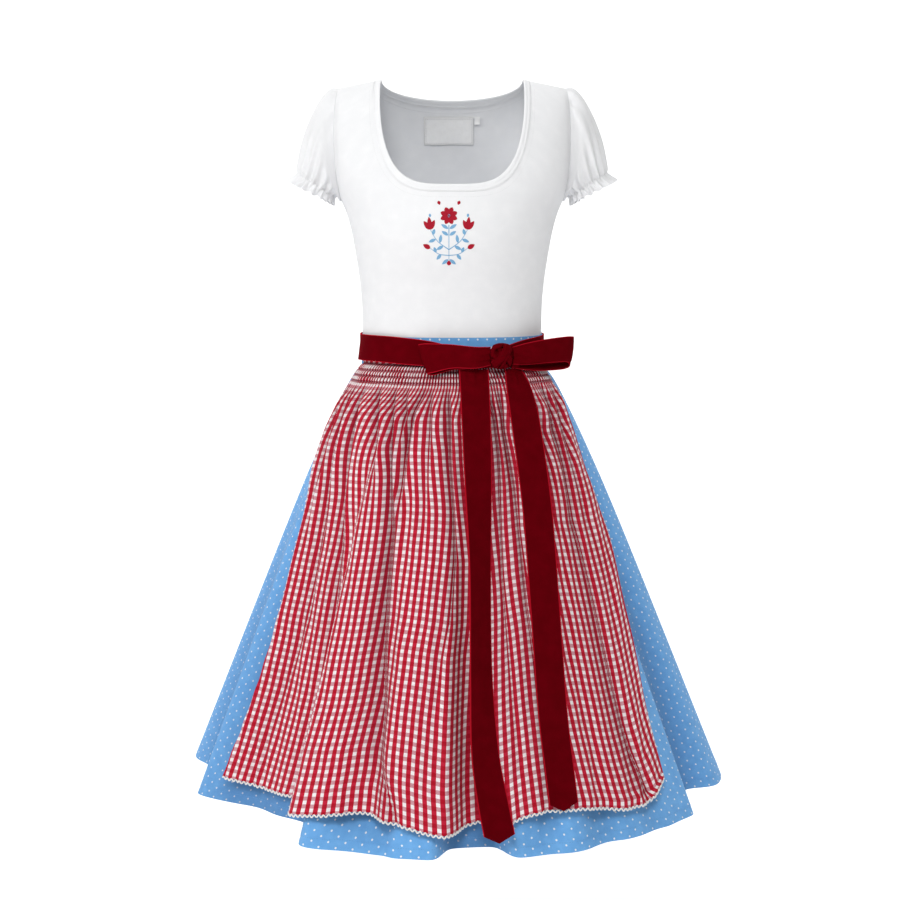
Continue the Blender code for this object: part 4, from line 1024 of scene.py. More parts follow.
apron = dict(start=-72.5, end=70.5, yokeTop=-0.397, yokeBottom=-0.4345, wall=0.0016, ribHeight=0.0021,
             ribs=72, cotton=0.0010, offSkirt=0.0016, foldHeight=0.0115, hemHeight=0.0070, gentle=0.011,
             steep=0.0028, pleatlet=0.0016, ripple=0.0008, hold=4000, crossing=0.0032, cutWidth=0.864,
             row=0.0103, rowsInYoke=4.24, settle=0.050)
yokeLines = np.array([0.29, 0.52, 0.73, 0.94])      # rows of gathering, as shares of the yoke height
longFolds = (  # places in apronFolds, and how closely the checks follow each
    (2, 0.5), (4, 0.55), (8, 1), (9, 1), (10, 1), (11, 1), (14, 1))
apronEdges = np.array([  # height, left and right edge in degrees
    (-0.985, -61, 48), (-0.870, -59.5, 49.7), (-0.780, -59.2, 53), (-0.690, -60.2, 57),
    (-0.600, -62.5, 61), (-0.510, -69, 64.5), (-0.460, -71, 66.8), (-0.4345, -72.5, 70.5)])
apronHem = np.array([  # degrees, height
    (-61, -0.985), (-49, -0.990), (-34, -0.987), (-20, -0.977), (-11, -0.981), (-1, -0.993), (8, -0.985),
    (14, -0.973), (25, -0.971), (38, -0.984), (43, -0.981), (48, -0.961)])
apronFolds = [  # each fold runs down as (height, degrees, strength)
    [(-0.443, -69, 0.8), (-0.500, -64.5, 0.7), (-0.560, -61, 0.5), (-0.650, -58, 0.2), (-0.750, -57, 0)],
    [(-0.443, -61.2, 0.7), (-0.487, -60, 0.8), (-0.535, -57, 0.7), (-0.618, -52.5, 0.55),
     (-0.760, -49.5, 0.4), (-0.887, -52, 0.3), (-0.990, -53, 0.2)],
    [(-0.443, -54.8, 0.8), (-0.472, -53, 1), (-0.515, -50.5, 1), (-0.588, -45.8, 0.9), (-0.655, -41.5, 0.8),
     (-0.750, -39, 0.6), (-0.850, -36, 0.5), (-0.990, -37.5, 0.6)],
    [(-0.443, -44.5, 0.9), (-0.472, -40.5, 1), (-0.500, -38, 0.8), (-0.525, -35.2, 0.6), (-0.562, -32, 0.3),
     (-0.620, -28, 0)],
    [(-0.443, -34.5, 0.8), (-0.475, -31.2, 1), (-0.522, -27.2, 1), (-0.588, -22.8, 1.1), (-0.625, -20.8, 1.2),
     (-0.710, -19.5, 1.2), (-0.787, -18, 1.0), (-0.848, -16.2, 0.9), (-0.907, -15.5, 0.8),
     (-0.963, -11.5, 0.5), (-0.990, -10, 0.4)],
    [(-0.443, -27, 0.8), (-0.475, -23.8, 0.9), (-0.495, -24.2, 0.7), (-0.530, -23.8, 0.3),
     (-0.570, -23.5, 0)],
    [(-0.443, -16.5, 0.8), (-0.470, -20.3, 0.9), (-0.515, -20.5, 0.9), (-0.570, -19.8, 0.7),
     (-0.613, -19.8, 0.3), (-0.660, -19.5, 0)],
    [(-0.443, -12.5, 0.8), (-0.495, -10.5, 0.7), (-0.522, -10.2, 0.5), (-0.573, -9.8, 0.3), (-0.650, -9, 0)],
    [(-0.443, -2, 0.8), (-0.472, -1.2, 1), (-0.530, -0.8, 1), (-0.603, 0.8, 0.8), (-0.662, 1.2, 0.55),
     (-0.740, -0.5, 0.4), (-0.780, -2.5, 0.35), (-0.853, -4.5, 0.25), (-0.950, -6, 0.1)],
    [(-0.443, 10, 0.8), (-0.520, 10, 0.8), (-0.650, 9, 0.6), (-0.800, 9, 0.5), (-0.990, 9, 0.4)],
    [(-0.443, 21.8, 0.9), (-0.472, 22.5, 1), (-0.522, 21, 1), (-0.588, 18.2, 0.9), (-0.682, 15.5, 0.8),
     (-0.757, 14.8, 0.6), (-0.843, 14.2, 0.5), (-0.930, 14, 0.3)],
    [(-0.443, 29, 0.8), (-0.497, 26, 0.9), (-0.573, 24.8, 0.9), (-0.627, 23.2, 0.9), (-0.723, 21.5, 0.8),
     (-0.825, 20.8, 0.7), (-0.970, 20.5, 0.4)],
    [(-0.443, 38, 0.8), (-0.520, 36, 0.8), (-0.600, 34, 0.6), (-0.700, 31, 0.4), (-0.800, 29, 0.2)],
    [(-0.443, 47.3, 0.9), (-0.480, 45.2, 0.9), (-0.505, 44, 0.8), (-0.530, 42.2, 0.6), (-0.600, 39, 0.2),
     (-0.650, 37, 0)],
    [(-0.443, 57.5, 0.9), (-0.463, 56.8, 1), (-0.497, 51.8, 1), (-0.545, 50, 0.9), (-0.620, 45, 0.9),
     (-0.705, 44, 0.8), (-0.823, 42.2, 0.8), (-0.890, 41.5, 0.9), (-0.927, 41.8, 0.9), (-0.975, 43, 0.8)],
    [(-0.443, 66, 0.8), (-0.500, 58, 0.8), (-0.545, 53.8, 0.6), (-0.600, 51.5, 0.45), (-0.657, 51.8, 0.3),
     (-0.750, 50, 0.1)]]
underApron = laidOver(tabulated(bodyRadius), reach=6, rise=2, soften=2)


def apronInner(around, z):
    return lookUp(underApron, around, z) + apron["offSkirt"] * smoothStep(-0.46, -0.60, z)


def foldPlaces(around, z, radius):
    # for each fold: metres to the right of its line, and its strength at that height
    for fold in apronFolds:
        rows = np.array(fold)[::-1]
        middle, strength = (np.interp(z, rows[:, 0], rows[:, k]) for k in (1, 2))
        yield np.radians(around - middle) * radius, strength * (z > rows[0, 0])


def apronFoldHeight(around, z, depth=False):
    radius = lookUp(underApron, around, z)
    fall = np.clip((apron["yokeBottom"] - z) / 0.05, 0.0, 1.0)
    reach = 1 + 1.3 * smoothStep(-0.50, -0.90, z)
    valley = np.zeros(np.broadcast(around, z).shape)
    for off, strength in foldPlaces(around, z, radius):
        steep = apron["steep"] * (0.6 + 0.4 * reach)
        side = np.where(off < 0, -off / (apron["gentle"] * reach), off / steep)
        valley = np.maximum(valley, strength * np.exp(-side**1.35))
    # with depth, this gives the valley share of the folds, which the finish paints as shade
    if depth:
        return np.minimum(valley, 1.0) * smoothStep(0, 0.22, fall)
    lower = smoothStep(-0.50, -0.80, z)
    height = apron["foldHeight"] + (apron["hemHeight"] - apron["foldHeight"]) * lower
    wide = height * (1 - np.minimum(valley, 1.0)) * smoothStep(0, 0.62, fall)**0.6
    arc = np.radians(around) * radius
    share = (around - apron["start"]) / (apron["end"] - apron["start"])
    small = apron["pleatlet"] * (1 + np.sin(2 * math.pi * apron["ribs"] * share)) / 2 * np.exp(-fall / 0.30)
    loose = apron["ripple"] * ripples(arc, z, 5, 9, 0.0045, 0.10) * smoothStep(0.2, 1.0, fall)
    return np.maximum(wide + small + loose, 0.0)


def apronOuter(around, z):
    return apronInner(around, z) + apron["cotton"] + apronFoldHeight(around, z)


def yokeOuter(around, z):
    return apronInner(around, z) + apron["wall"] + apron["ribHeight"]


def apronSpan(z):
    return [smoothTable(apronEdges[:, 0], apronEdges[:, k], z) for k in (1, 2)]


def apronGrid(share, drops):
    hemAngle = apronEdges[0, 1] + (apronEdges[0, 2] - apronEdges[0, 1]) * share
    hem = smoothTable(apronHem[:, 0], apronHem[:, 1], hemAngle)
    top = apron["yokeBottom"] - 0.0001
    z = top + (hem - top) * drops[:, None]
    left, right = apronSpan(z)
    return left + (right - left) * share, z


def apronShares(steps):
    hem = evenColumns(lambda a: apronOuter(a, -0.97), apronEdges[0, 1], apronEdges[0, 2], steps)
    return (hem - hem[0]) / (hem[-1] - hem[0])


def checksAlongFolds(around, z, cut):
    # the flat cloth's own place across, with the long folds running down its threads
    height = z.mean(axis=1)
    left, right = apronSpan(height)
    inBody = (height < -0.50) & (height > -0.95)
    lines, places = [left], [0.0]
    for k, follow in longFolds:
        rows = np.array(apronFolds[k])[::-1]
        line = np.interp(height, rows[:, 0], rows[:, 1])
        place = ((line - left) / (right - left))[inBody].mean()
        lines.append(follow * line + (1 - follow) * (left + (right - left) * place))
        places.append(cut * place)
    lines, places = np.array(lines + [right]).T, places + [cut]
    return np.array([np.interp(row, marks, places) for row, marks in zip(around, lines)])


def apronUv(outer, around, z, share, cut):
    # checks keep their true size on each ridge, and what is left over goes into the fold beside it
    length = rowLengths(outer)
    flat, fan = share * cut, checksAlongFolds(around, z, cut)
    radius = np.linalg.norm(outer[..., :2], axis=-1)
    crossing = np.zeros_like(length)
    for off, strength in foldPlaces(around, z, radius):
        crossing = np.maximum(crossing, strength * np.exp(-(((off + 0.0005) / apron["crossing"]) ** 2)))
    hold = apron["hold"] * np.exp(-6.5 * np.minimum(crossing[:, 1:] + crossing[:, :-1], 2.0) / 2)
    gap = fan - length
    # each row: a slide that stays level between the folds and steps at them
    cols = gap.shape[1]
    middle = np.ones_like(gap)
    middle[:, :-1] += hold
    middle[:, 1:] += hold
    slide = gap.copy()
    for k in range(1, cols):
        step = hold[:, k - 1] / middle[:, k - 1]
        middle[:, k] -= step * hold[:, k - 1]
        slide[:, k] += step * slide[:, k - 1]
    slide[:, -1] /= middle[:, -1]
    for k in range(cols - 2, -1, -1):
        slide[:, k] = (slide[:, k] + hold[:, k] * slide[:, k + 1]) / middle[:, k]
    settle = smoothStep(apron["yokeBottom"], apron["yokeBottom"] - apron["settle"], z)
    u = flat + (length + slide - flat) * settle
    down = rowDrops(outer)
    return np.stack(np.broadcast_arrays(u, down[:, None] + apron["rowsInYoke"] * apron["row"]), axis=-1)


def apronPanel(steps, rows):
    share = apronShares(steps)
    around, z = apronGrid(share, np.linspace(0, 1, rows) ** 1.25)
    rise = apronFoldHeight(around, z)
    inner = polar(apronInner(around, z) + rise, around, z)
    outer = polar(apronInner(around, z) + rise + apron["cotton"], around, z)
    uv = apronUv(outer, around, z, share, apron["cutWidth"])
    # painted shade in the fold valleys, stronger just under the yoke
    deep = (0.72 + 0.26 * smoothStep(-0.62, -0.46, z)) * apronFoldHeight(around, z, depth=True) ** 1.15
    return clothWall("apron_panel_cloth", outer, inner, redGingham, uv=uv, deep=deep)


def apronYoke(columnsPerRib):
    # flat checks in the top row, then ribs gathered between rows of stitching
    around = np.linspace(apron["start"], apron["end"], columnsPerRib * apron["ribs"] + 1)
    share = (around - around[0]) / (around[-1] - around[0])
    rows, paintedShades, z = [], [], np.linspace(apron["yokeTop"], apron["yokeBottom"], 59)
    for height in z:
        down = (z[0] - height) / (z[0] - z[-1])
        lean = 0.14 * ripples(share, down, 21, 5, 0.03, 0.14)
        crest = (1 - np.cos(2 * math.pi * (apron["ribs"] * share + lean))) / 2
        tight = np.exp(-(((down - yokeLines) / 0.026) ** 2)).max()
        raised = 0.10 if down < yokeLines[0] else 1.0
        puffed = apron["ribHeight"] * (raised * (1 - 0.85 * tight) * crest + 0.55 * (1 - tight) - 0.30)
        rows.append(polar(apronInner(around, height) + apron["wall"] - 0.0004 + puffed, around, height))
        # painted shade along the gathering rows and in the valleys between the ribs
        paintedShades.append(np.maximum(0.42 * tight, raised * 0.88 * (1 - crest) ** 1.3))
    outer = np.array(rows)
    inner = np.array([polar(apronInner(around, height), around, height) for height in z])
    length = rowLengths(inner)
    down = (z[0] - z) / (z[0] - z[-1])
    gathered = smoothStep(0.27, 0.31, down)[:, None]
    u = length[:1] * (1 - gathered) + share * apron["cutWidth"] * gathered
    v = apron["row"] * np.interp(down, [0, *yokeLines, 1], [-0.06, 1, 2, 3, 4, apron["rowsInYoke"]])
    uv = np.stack(np.broadcast_arrays(u, v[:, None]), axis=-1)
    return clothWall("apron_yoke_cloth", outer, inner, redGingham, uv=uv, deep=np.array(paintedShades))


panel = apronPanel(steps=600, rows=78)
yoke = apronYoke(columnsPerRib=8)
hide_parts("apron_yoke")
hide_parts("apron_panel")


lacing = dict(pitch=0.0071, wave=0.0016, braid=0.00110, drop=0.0018, out=0.0006)


def laceTree():
    tree, given, result = nodeTree("waved_braid", {"Pitch": 0.007, "Wave": 0.0014, "Braid": 0.0008,
                                                   "Finish": None})
    curve = geo(tree, "GeometryNodeMeshToCurve", Mesh=given.outputs["Geometry"])
    step = sums(tree, "DIVIDE", given.outputs["Pitch"], 12.0)
    points = geo(tree, "GeometryNodeResampleCurve", Curve=curve.outputs[0])
    points.mode = "LENGTH"
    put(tree, points.inputs["Length"], step)
    place = tree.nodes.new("GeometryNodeSplineParameter")
    waves = sums(tree, "DIVIDE", place.outputs["Length"], given.outputs["Pitch"])
    turn = sums(tree, "MULTIPLY", waves, 2 * math.pi)
    swing = sums(tree, "MULTIPLY", sums(tree, "SINE", turn), given.outputs["Wave"])
    shift = geo(tree, "ShaderNodeCombineXYZ", Z=swing)
    waved = geo(tree, "GeometryNodeSetPosition", Geometry=points.outputs[0], Offset=shift.outputs[0])
    ring = geo(tree, "GeometryNodeCurvePrimitiveCircle", Resolution=7, Radius=given.outputs["Braid"])
    braid = geo(tree, "GeometryNodeCurveToMesh", Curve=waved.outputs[0], Profile_Curve=ring.outputs[0],
                Fill_Caps=True)
    smooth = geo(tree, "GeometryNodeSetShadeSmooth", Geometry=braid.outputs[0])
    real = geo(tree, "GeometryNodeRealizeInstances", Geometry=smooth.outputs[0])
    finished = geo(tree, "GeometryNodeSetMaterial", Geometry=real.outputs[0],
                   Material=given.outputs["Finish"])
    tree.links.new(finished.outputs[0], result.inputs[0])
    return tree


def hemPath(steps, below, out):
    share = apronShares(steps)
    around, z = apronGrid(share, np.array([1.0]))
    radius = apronInner(around, z) + apronFoldHeight(around, z) + out
    points = polar(radius, around, z - below)[0]
    return points, np.tile([0.0, -1.0, 0.0], (len(points), 1))


def hemLace(steps):
    made = pathMesh("hem_path", *zip(hemPath(steps, lacing["drop"], lacing["out"])))
    useTree(made, laceTree(), {"Pitch": lacing["pitch"], "Wave": lacing["wave"], "Braid": lacing["braid"],
                               "Finish": whitePicot})
    return plainMesh(made, "apron_lace_trim", whitePicot)


def yokeStitches():
    paths, ups = [], []
    around = np.linspace(apron["start"] + 0.4, apron["end"] - 0.4, 500)
    for line in yokeLines:
        z = apron["yokeTop"] + (apron["yokeBottom"] - apron["yokeTop"]) * line
        points = polar(apronInner(around, z) + apron["wall"] + 0.0002 + 0.1 * apron["ribHeight"], around, z)
        paths.append(points)
        ups.append(unit(points * [1, 1, 0]))
    return sewStitches("yoke_stitches", paths, ups, spacing=0.0050, length=0.0036, thread=0.00055,
                       finish=redThread)


lace = hemLace(500)
gatherStitches = yokeStitches()
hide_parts("apron_lace")
print("apron made, cut", apron["cutWidth"], "m wide")


ribbon = dict(width=0.042, wrap=0.0372, drawnIn=0.0105, velvet=0.0016, point=0.011, knotAngle=33,
              knotX=0.070, knotZ=-0.3940, knotHalf=0.016, knotTall=0.0182, knotBase=0.003,
              tailCrease=0.0009, creaseZ=-0.422, pleat=0.0011, cup=0.0015, flankStart=0.100)
sashLine = np.array([  # degrees, the ribbon's top edge
    (-325, -0.3850), (-317, -0.3790), (-308, -0.3737), (-296, -0.3702), (-278, -0.3684), (-255, -0.3675),
    (-180, -0.3665), (-90, -0.3670), (-40, -0.3680), (-15, -0.3740), (5, -0.3830), (31, -0.3840)])
leftTail = np.array([  # across, height, half width, degrees turned
    (0.030, -0.4122, 0.0214, 0), (0.032, -0.450, 0.0212, 0), (0.034, -0.520, 0.0208, 8),
    (0.036, -0.660, 0.0200, 34), (0.037, -0.800, 0.0200, 36), (0.042, -0.895, 0.0205, 22),
    (0.053, -0.958, 0.0210, 10), (0.060, -0.990, 0.0210, 8)])
rightTail = np.array([
    (0.0848, -0.4121, 0.0140, 0), (0.0875, -0.4210, 0.0170, -1), (0.092, -0.442, 0.0205, -10),
    (0.099, -0.490, 0.0212, -18), (0.1135, -0.600, 0.0212, -16), (0.124, -0.730, 0.0212, -8),
    (0.132, -0.850, 0.0210, -4), (0.140, -0.920, 0.0208, -2), (0.145, -0.960, 0.0208, 0)])
leftLoop = np.array([  # across, out from the cloth, top, bottom
    (0.0527, 0.0114, -0.3805, -0.4062), (0.0320, 0.0162, -0.3800, -0.4100),
    (-0.0020, 0.0160, -0.3765, -0.4098), (-0.0360, 0.0140, -0.3755, -0.4160),
    (-0.0480, 0.0095, -0.3775, -0.4185), (-0.0350, 0.0064, -0.3790, -0.4200),
    (-0.0020, 0.0092, -0.3805, -0.4126), (0.0320, 0.0098, -0.3825, -0.4106),
    (0.0527, 0.0082, -0.3835, -0.4076)])
rightLoop = np.array([
    (0.0873, 0.0124, -0.3815, -0.4055), (0.1080, 0.0170, -0.3760, -0.4072),
    (0.1380, 0.0200, -0.3715, -0.4058), (0.1690, 0.0180, -0.3693, -0.4060),
    (0.1780, 0.0110, -0.3712, -0.4120), (0.1660, 0.0066, -0.3745, -0.4165),
    (0.1380, 0.0070, -0.3780, -0.4172), (0.1080, 0.0088, -0.3815, -0.4150),
    (0.0873, 0.0090, -0.3840, -0.4112)])


def underSashRadius(around, z):
    onYoke = (around > apron["start"] - 4) & (around < apron["end"] + 4) & (z < apron["yokeTop"] + 0.002)
    return np.where(onYoke, yokeOuter(around, z), bodyRadius(around, z))


def sashTop(around):
    near = np.where(np.asarray(around) > ribbon["knotAngle"], np.asarray(around) - 360, around)
    return smoothTable(sashLine[:, 0], sashLine[:, 1], near)


def sashWidth(around):
    # drawn together beside the knot
    apart = np.abs((np.asarray(around) - ribbon["knotAngle"] + 180.0) % 360.0 - 180.0)
    return ribbon["wrap"] - ribbon["drawnIn"] * (1 - smoothStep(4, 70, apart))


underSash = laidOver(tabulated(underSashRadius), reach=6, rise=0, soften=4)


def sashLeans():
    # radius at the ribbon's top edge and at its bottom edge, at each table angle
    top = sashTop(tableAngles)
    shares = np.linspace(0, 1, 15)[:, None]
    under = lookUp(underSash, tableAngles, top - sashWidth(tableAngles) * shares)
    first = under[:6].max(axis=0)
    wider = np.maximum((under[6:] - first) / shares[6:], 0.0).max(axis=0)
    edges = np.stack([first, first + wider])
    wide = np.max([np.roll(edges, shift, axis=1) for shift in range(-4, 5)], axis=0)
    return sum(np.roll(wide, shift, axis=1) for shift in range(-4, 5)) / 9


sashEdges = sashLeans()


def sashInner(around, z):
    turn = (np.asarray(around) + 180.0) % 360.0 - 180.0
    angles = np.append(tableAngles, 180.0)
    upper, lower = (np.interp(turn, angles, np.append(edge, edge[0])) for edge in sashEdges)
    return upper + (lower - upper) * np.clip((sashTop(around) - z) / sashWidth(around), 0.0, 1.0)


def underTailsRadius(around, z):
    cloth = np.where(z < apron["yokeBottom"], apronOuter(around, z), yokeOuter(around, z))
    top, wide = sashTop(around), sashWidth(around)
    onSash = (z < top + 0.004) & (z > top - wide - 0.004)
    wrapped = sashInner(around, np.clip(z, top - wide, top)) + ribbon["velvet"]
    return np.where(onSash, np.maximum(wrapped, cloth), cloth)


underBow = tabulated(underTailsRadius)


def frontOf(x, z):
    radius = np.full(np.broadcast(x, z).shape, 0.13)
    for _ in range(8):
        around = np.degrees(np.arcsin(np.clip(x / radius, -0.99, 0.99)))
        radius = (radius + lookUp(underBow, around, z)) / 2
    return radius * np.cos(np.arcsin(np.clip(x / radius, -0.99, 0.99)))


def ribbonUv(outer, across):
    # u runs along the ribbon and v across it, from its middle
    down = rowDrops(outer)
    return np.stack(np.broadcast_arrays(down[:, None], across[None, :]), axis=-1)


def velvetSash(steps):
    around = np.linspace(sashLine[0, 0], sashLine[-1, 0], steps + 1)
    top = sashTop(around)
    share = np.linspace(0, 1, 19)[:, None]
    z = top - sashWidth(around) * share
    base = sashInner(around, z)
    outer, inner = polar(base + ribbon["velvet"], around, z), polar(base, around, z)
    length = rowLengths(outer)
    uv = np.stack(np.broadcast_arrays(length, ribbon["width"] * (share - 0.5)), axis=-1)
    return clothWall("velvet_sash_ribbon", outer, inner, redVelvet, uv=uv)


def velvetTail(name, table, count):
    steps = (len(table) - 1) * np.linspace(0, 1, count) ** 1.25
    xMid, z, half, turned = (smoothTable(np.arange(len(table)), table[:, k], steps) for k in range(4))
    fine = np.linspace(0, count - 1, 4 * (count - 1) + 1)
    index = np.arange(count)
    fineX, fineZ, fineHalf = (np.interp(fine, index, v) for v in (xMid, z, half))
    fineZ[-1] -= ribbon["point"]
    spread = np.linspace(-1.15, 1.15, 15)[:, None]
    radius = np.full(count, 0.12)
    for _ in range(40):
        run = np.interp(fine, index, radius)
        around = np.degrees(np.arcsin(np.clip(fineX / run, -0.95, 0.95)))
        swing = spread * np.degrees(fineHalf / run)
        need = (lookUp(underBow, around + swing, fineZ) * np.cos(np.radians(swing))).max(axis=0)
        short = (need - run)[:-1].reshape(count - 1, 4).max(axis=1)
        short = np.concatenate([short, [(need - run)[-1]]])
        radius = radius + 0.5 * np.maximum(short, np.concatenate([[-1.0], short[:-1]]))
    for _ in range(30):     # a ribbon hangs in one easy line over what it lies on
        eased = np.convolve(np.pad(radius, 1, mode="edge"), (0.25, 0.5, 0.25), mode="valid")
        radius = np.maximum(radius, eased)
    around = np.degrees(np.arcsin(xMid / radius))
    lean = np.radians(turned)
    radius = radius + layerGap + ribbon["velvet"] + half * np.abs(np.sin(lean))
    across = np.linspace(-1, 1, 21)
    angle = np.radians(around)
    tangent = np.stack([np.cos(angle), np.sin(angle), 0 * angle], axis=-1)
    out = np.stack([np.sin(angle), -np.cos(angle), 0 * angle], axis=-1)
    side = tangent * np.cos(lean)[:, None] - out * np.sin(lean)[:, None]
    face = out * np.cos(lean)[:, None] + tangent * np.sin(lean)[:, None]
    middle = polar(radius, around, z)[:, None, :]
    outer = middle + half[:, None, None] * across[None, :, None] * side[:, None, :]
    outer[-1, :, 2] -= ribbon["point"] * (1 - np.abs(across))
    creased = np.exp(-(((z - ribbon["creaseZ"]) / 0.008) ** 2))[:, None]
    crease = ribbon["tailCrease"] * (1 + np.cos(across * 11 + 0.8)) * creased
    outer = outer + crease[..., None] * face[:, None, :]
    inner = outer - ribbon["velvet"] * face[:, None, :]
    return clothWall(name, outer, inner, redVelvet, uv=ribbonUv(outer, across * ribbon["width"] / 2))


def knotNarrow(tall):
    return np.sqrt(1 - 0.42 * np.clip(tall, -1, 1) ** 2)


def bowLoop(name, table, steps, levels, slant):
    spread = np.linspace(0, len(table) - 1, steps + 1)
    x, out, top, bottom = (smoothTable(np.arange(len(table)), table[:, k], spread) for k in range(4))
    ends = np.clip(np.abs(x - x[0]) / np.abs(x - x[0]).max(), 0, 1) ** 2.2
    hand = 1.0 if table[4, 0] < table[0, 0] else -1.0
    rows, faces = [], []
    for level in np.linspace(0, 1, levels):
        z = top + (bottom - top) * level
        near = np.exp(-np.abs(x - x[0]) / 0.010)
        beside = ribbon["knotHalf"] * (1 - knotNarrow((z - ribbon["knotZ"]) / ribbon["knotTall"]))
        shifted = x + slant * level * ends + hand * beside * near
        bend = np.maximum(shifted - ribbon["flankStart"], 0.0)     # past it the loop keeps its own curve
        pleats = ribbon["pleat"] * np.cos(level * 19 + 0.6) * np.exp(-np.abs(x - x[0]) / 0.014)
        cup = ribbon["cup"] * math.sin(math.pi * level) + pleats
        y = -(frontOf(shifted - bend, z) - 0.60 * bend - 1.5 * bend**2) - out
        knotLevel = 0 * z + ribbon["knotZ"]
        flat = -(frontOf(shifted - bend, knotLevel) - 0.60 * bend - 1.5 * bend**2) - out
        tangent = unit(np.gradient(np.stack([shifted, flat], axis=-1), axis=0))
        face = np.stack([tangent[:, 1], -tangent[:, 0]], axis=-1) * -hand
        faces.append(np.concatenate([face, np.zeros((len(x), 1))], axis=-1))
        rows.append(np.stack([shifted + face[:, 0] * cup, y + face[:, 1] * cup, z], axis=-1))
    outer, faces = np.array(rows), np.array(faces)
    length = rowLengths(outer)
    v = np.broadcast_to(np.linspace(-0.5, 0.5, levels)[:, None] * ribbon["width"], length.shape)
    uv = np.stack([length, v], axis=-1)
    return clothWall(name, outer, outer - ribbon["velvet"] * faces, redVelvet, uv=uv, sharpAt=80)


knotStrands = [  # each strand of the knot: its middle line as across, height, then half width and rise
    ([(0.0640, -0.3960), (0.0572, -0.3900), (0.0590, -0.3815), (0.0690, -0.3785)], 0.0042, 0.0085),
    ([(0.0600, -0.3990), (0.0665, -0.3940), (0.0690, -0.3880), (0.0660, -0.3800)], 0.0036, 0.0060),
    ([(0.0800, -0.3770), (0.0765, -0.3870), (0.0690, -0.3970), (0.0575, -0.4080)], 0.0060, 0.0140),
    ([(0.0850, -0.3800), (0.0805, -0.3890), (0.0770, -0.3960), (0.0690, -0.4090)], 0.0030, 0.0110),
    ([(0.0790, -0.3940), (0.0810, -0.4010), (0.0840, -0.4060), (0.0860, -0.4110)], 0.0040, 0.0088),
    ([(0.0720, -0.4020), (0.0740, -0.4060), (0.0755, -0.4090), (0.0760, -0.4130)], 0.0036, 0.0066)]


def bowKnot(cols, rows):
    # strands of ribbon pulled over each other
    s, t = np.meshgrid(np.linspace(-1, 1, cols), np.linspace(1, -1, rows))
    narrow = knotNarrow(t)
    x = ribbon["knotX"] + ribbon["knotHalf"] * s * narrow
    z = ribbon["knotZ"] + ribbon["knotTall"] * t * np.sqrt(1 - 0.30 * s**2)
    rim = (1 - s**4) * (1 - t**4)
    best, uv = 0.0016 * rim**0.4, np.stack([x, 0 * x], axis=-1)
    for line, half, rise in knotStrands:
        share = np.linspace(0, 1, 60)
        px, pz = (smoothTable(np.linspace(0, 1, 4), [point[k] for point in line], share) for k in (0, 1))
        off = np.hypot(x[..., None] - px, z[..., None] - pz)
        nearest = off.argmin(axis=-1)
        tangent = unit(np.stack([np.gradient(px), np.gradient(pz)], axis=-1))[nearest]
        side = (x - px[nearest]) * tangent[..., 1] - (z - pz[nearest]) * tangent[..., 0]
        lift = rise * np.sqrt(np.maximum(1 - (off.min(axis=-1) / half) ** 4, 0.0)) * rim**0.14
        over = lift > best
        best = np.where(over, lift, best)
        own = np.stack([share[nearest] * 0.05, side / half * 0.0212], axis=-1)
        uv = np.where(over[..., None], own, uv)
    behind = np.max([frontOf(x, z + step) for step in (-0.003, 0.0, 0.003)], axis=0)
    base = -behind - 7 * layerGap
    outer = np.stack([x, base - ribbon["velvet"] - ribbon["knotBase"] - best, z], axis=-1)
    inner = np.stack([x, base + 0 * x, z], axis=-1)
    return clothWall("bow_knot_velvet", outer, inner, redVelvet, uv=uv, sharpAt=70)


sash = velvetSash(420)
tails = [velvetTail("velvet_tail_left_ribbon", leftTail, 90),
         velvetTail("velvet_tail_right_ribbon", rightTail, 90)]
loops = [bowLoop("bow_loop_left_ribbon", leftLoop, 120, 33, 0.013),
         bowLoop("bow_loop_right_ribbon", rightLoop, 120, 33, -0.006)]
knot = bowKnot(81, 91)
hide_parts("velvet_sash")
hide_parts("velvet_tail_left")
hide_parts("velvet_tail_right")
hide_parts("bow_loop_left")
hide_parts("bow_loop_right")
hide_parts("bow_knot")
print("ribbon tied")


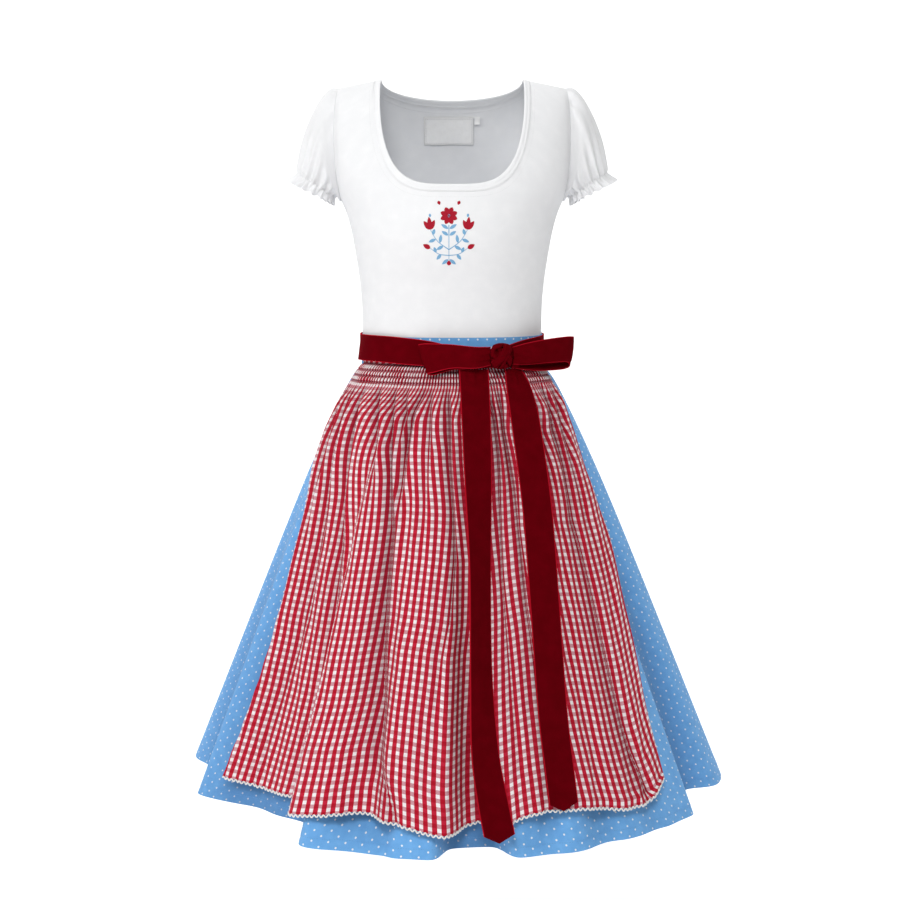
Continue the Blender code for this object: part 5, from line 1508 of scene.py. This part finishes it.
def studio():
    floorZ, front, back, bend, top, half = -1.42, -6.0, 2.6, 0.8, 4.0, 7.0
    profile = [(front, floorZ), (back - bend, floorZ)]
    profile += [(back - bend + bend * math.sin(t), floorZ + bend - bend * math.cos(t))
                for t in np.linspace(0, math.pi / 2, 17)[1:]]
    profile.append((back, top))
    points = [(x, y, z) for y, z in profile for x in (-half, half)]
    faces = [(2 * k, 2 * k + 1, 2 * k + 3, 2 * k + 2) for k in range(len(profile) - 1)]
    mesh = bpy.data.meshes.new("studio_floor")
    mesh.from_pydata(points, [], faces)
    mesh.shade_smooth()
    paper, _, shader = newFinish("pale_paper", roughness=0.9, specular=0.1)
    shader.inputs["Base Color"].default_value = (0.93, 0.93, 0.93, 1)
    shader.inputs["Emission Color"].default_value = (1, 1, 1, 1)
    shader.inputs["Emission Strength"].default_value = 0.36
    mesh.materials.append(paper)
    floor = link("studio_floor", mesh)


def softLight(name, place, aim, size, power, colour=(1, 1, 1)):
    lamp = bpy.data.lights.new(name, "AREA")
    lamp.shape, lamp.size, lamp.energy, lamp.color = "DISK", size, power, colour
    made = bpy.data.objects.new(name, lamp)
    bpy.context.scene.collection.objects.link(made)
    made.location = place
    toward = np.array(aim) - np.array(place)
    flat = math.hypot(toward[0], toward[1])
    made.rotation_euler = (math.atan2(flat, -toward[2]), 0, math.atan2(toward[1], toward[0]) - math.pi / 2)


studio()
softLight("key_light", (-2.8, -2.1, 1.5), (0, 0, -0.5), 1.1, 38)
softLight("front_light", (-0.25, -2.7, 1.7), (0, 0, -0.2), 1.2, 52)
softLight("back_light", (0.0, 1.0, 2.8), (0, 2.7, -0.9), 1.6, 34)
world = bpy.data.worlds.new("studio_air")
world.use_nodes = True
world.node_tree.nodes["Background"].inputs[0].default_value = (1.0, 1.0, 1.0, 1)
world.node_tree.nodes["Background"].inputs[1].default_value = 0.32
bpy.context.scene.world = world
bpy.context.scene.view_settings.view_transform = "Standard"
bpy.context.scene.view_settings.look = "None"
print("studio lit")

for piece in bpy.context.scene.collection.all_objects:
    ours = "_cloth", "_ribbon", "_tape", "_stitches", "_trim", "_velvet", "print_red", "print_blue"
    if piece.type == "MESH" and piece.name.endswith(ours):
        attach(piece, "root")

print("scene ready")
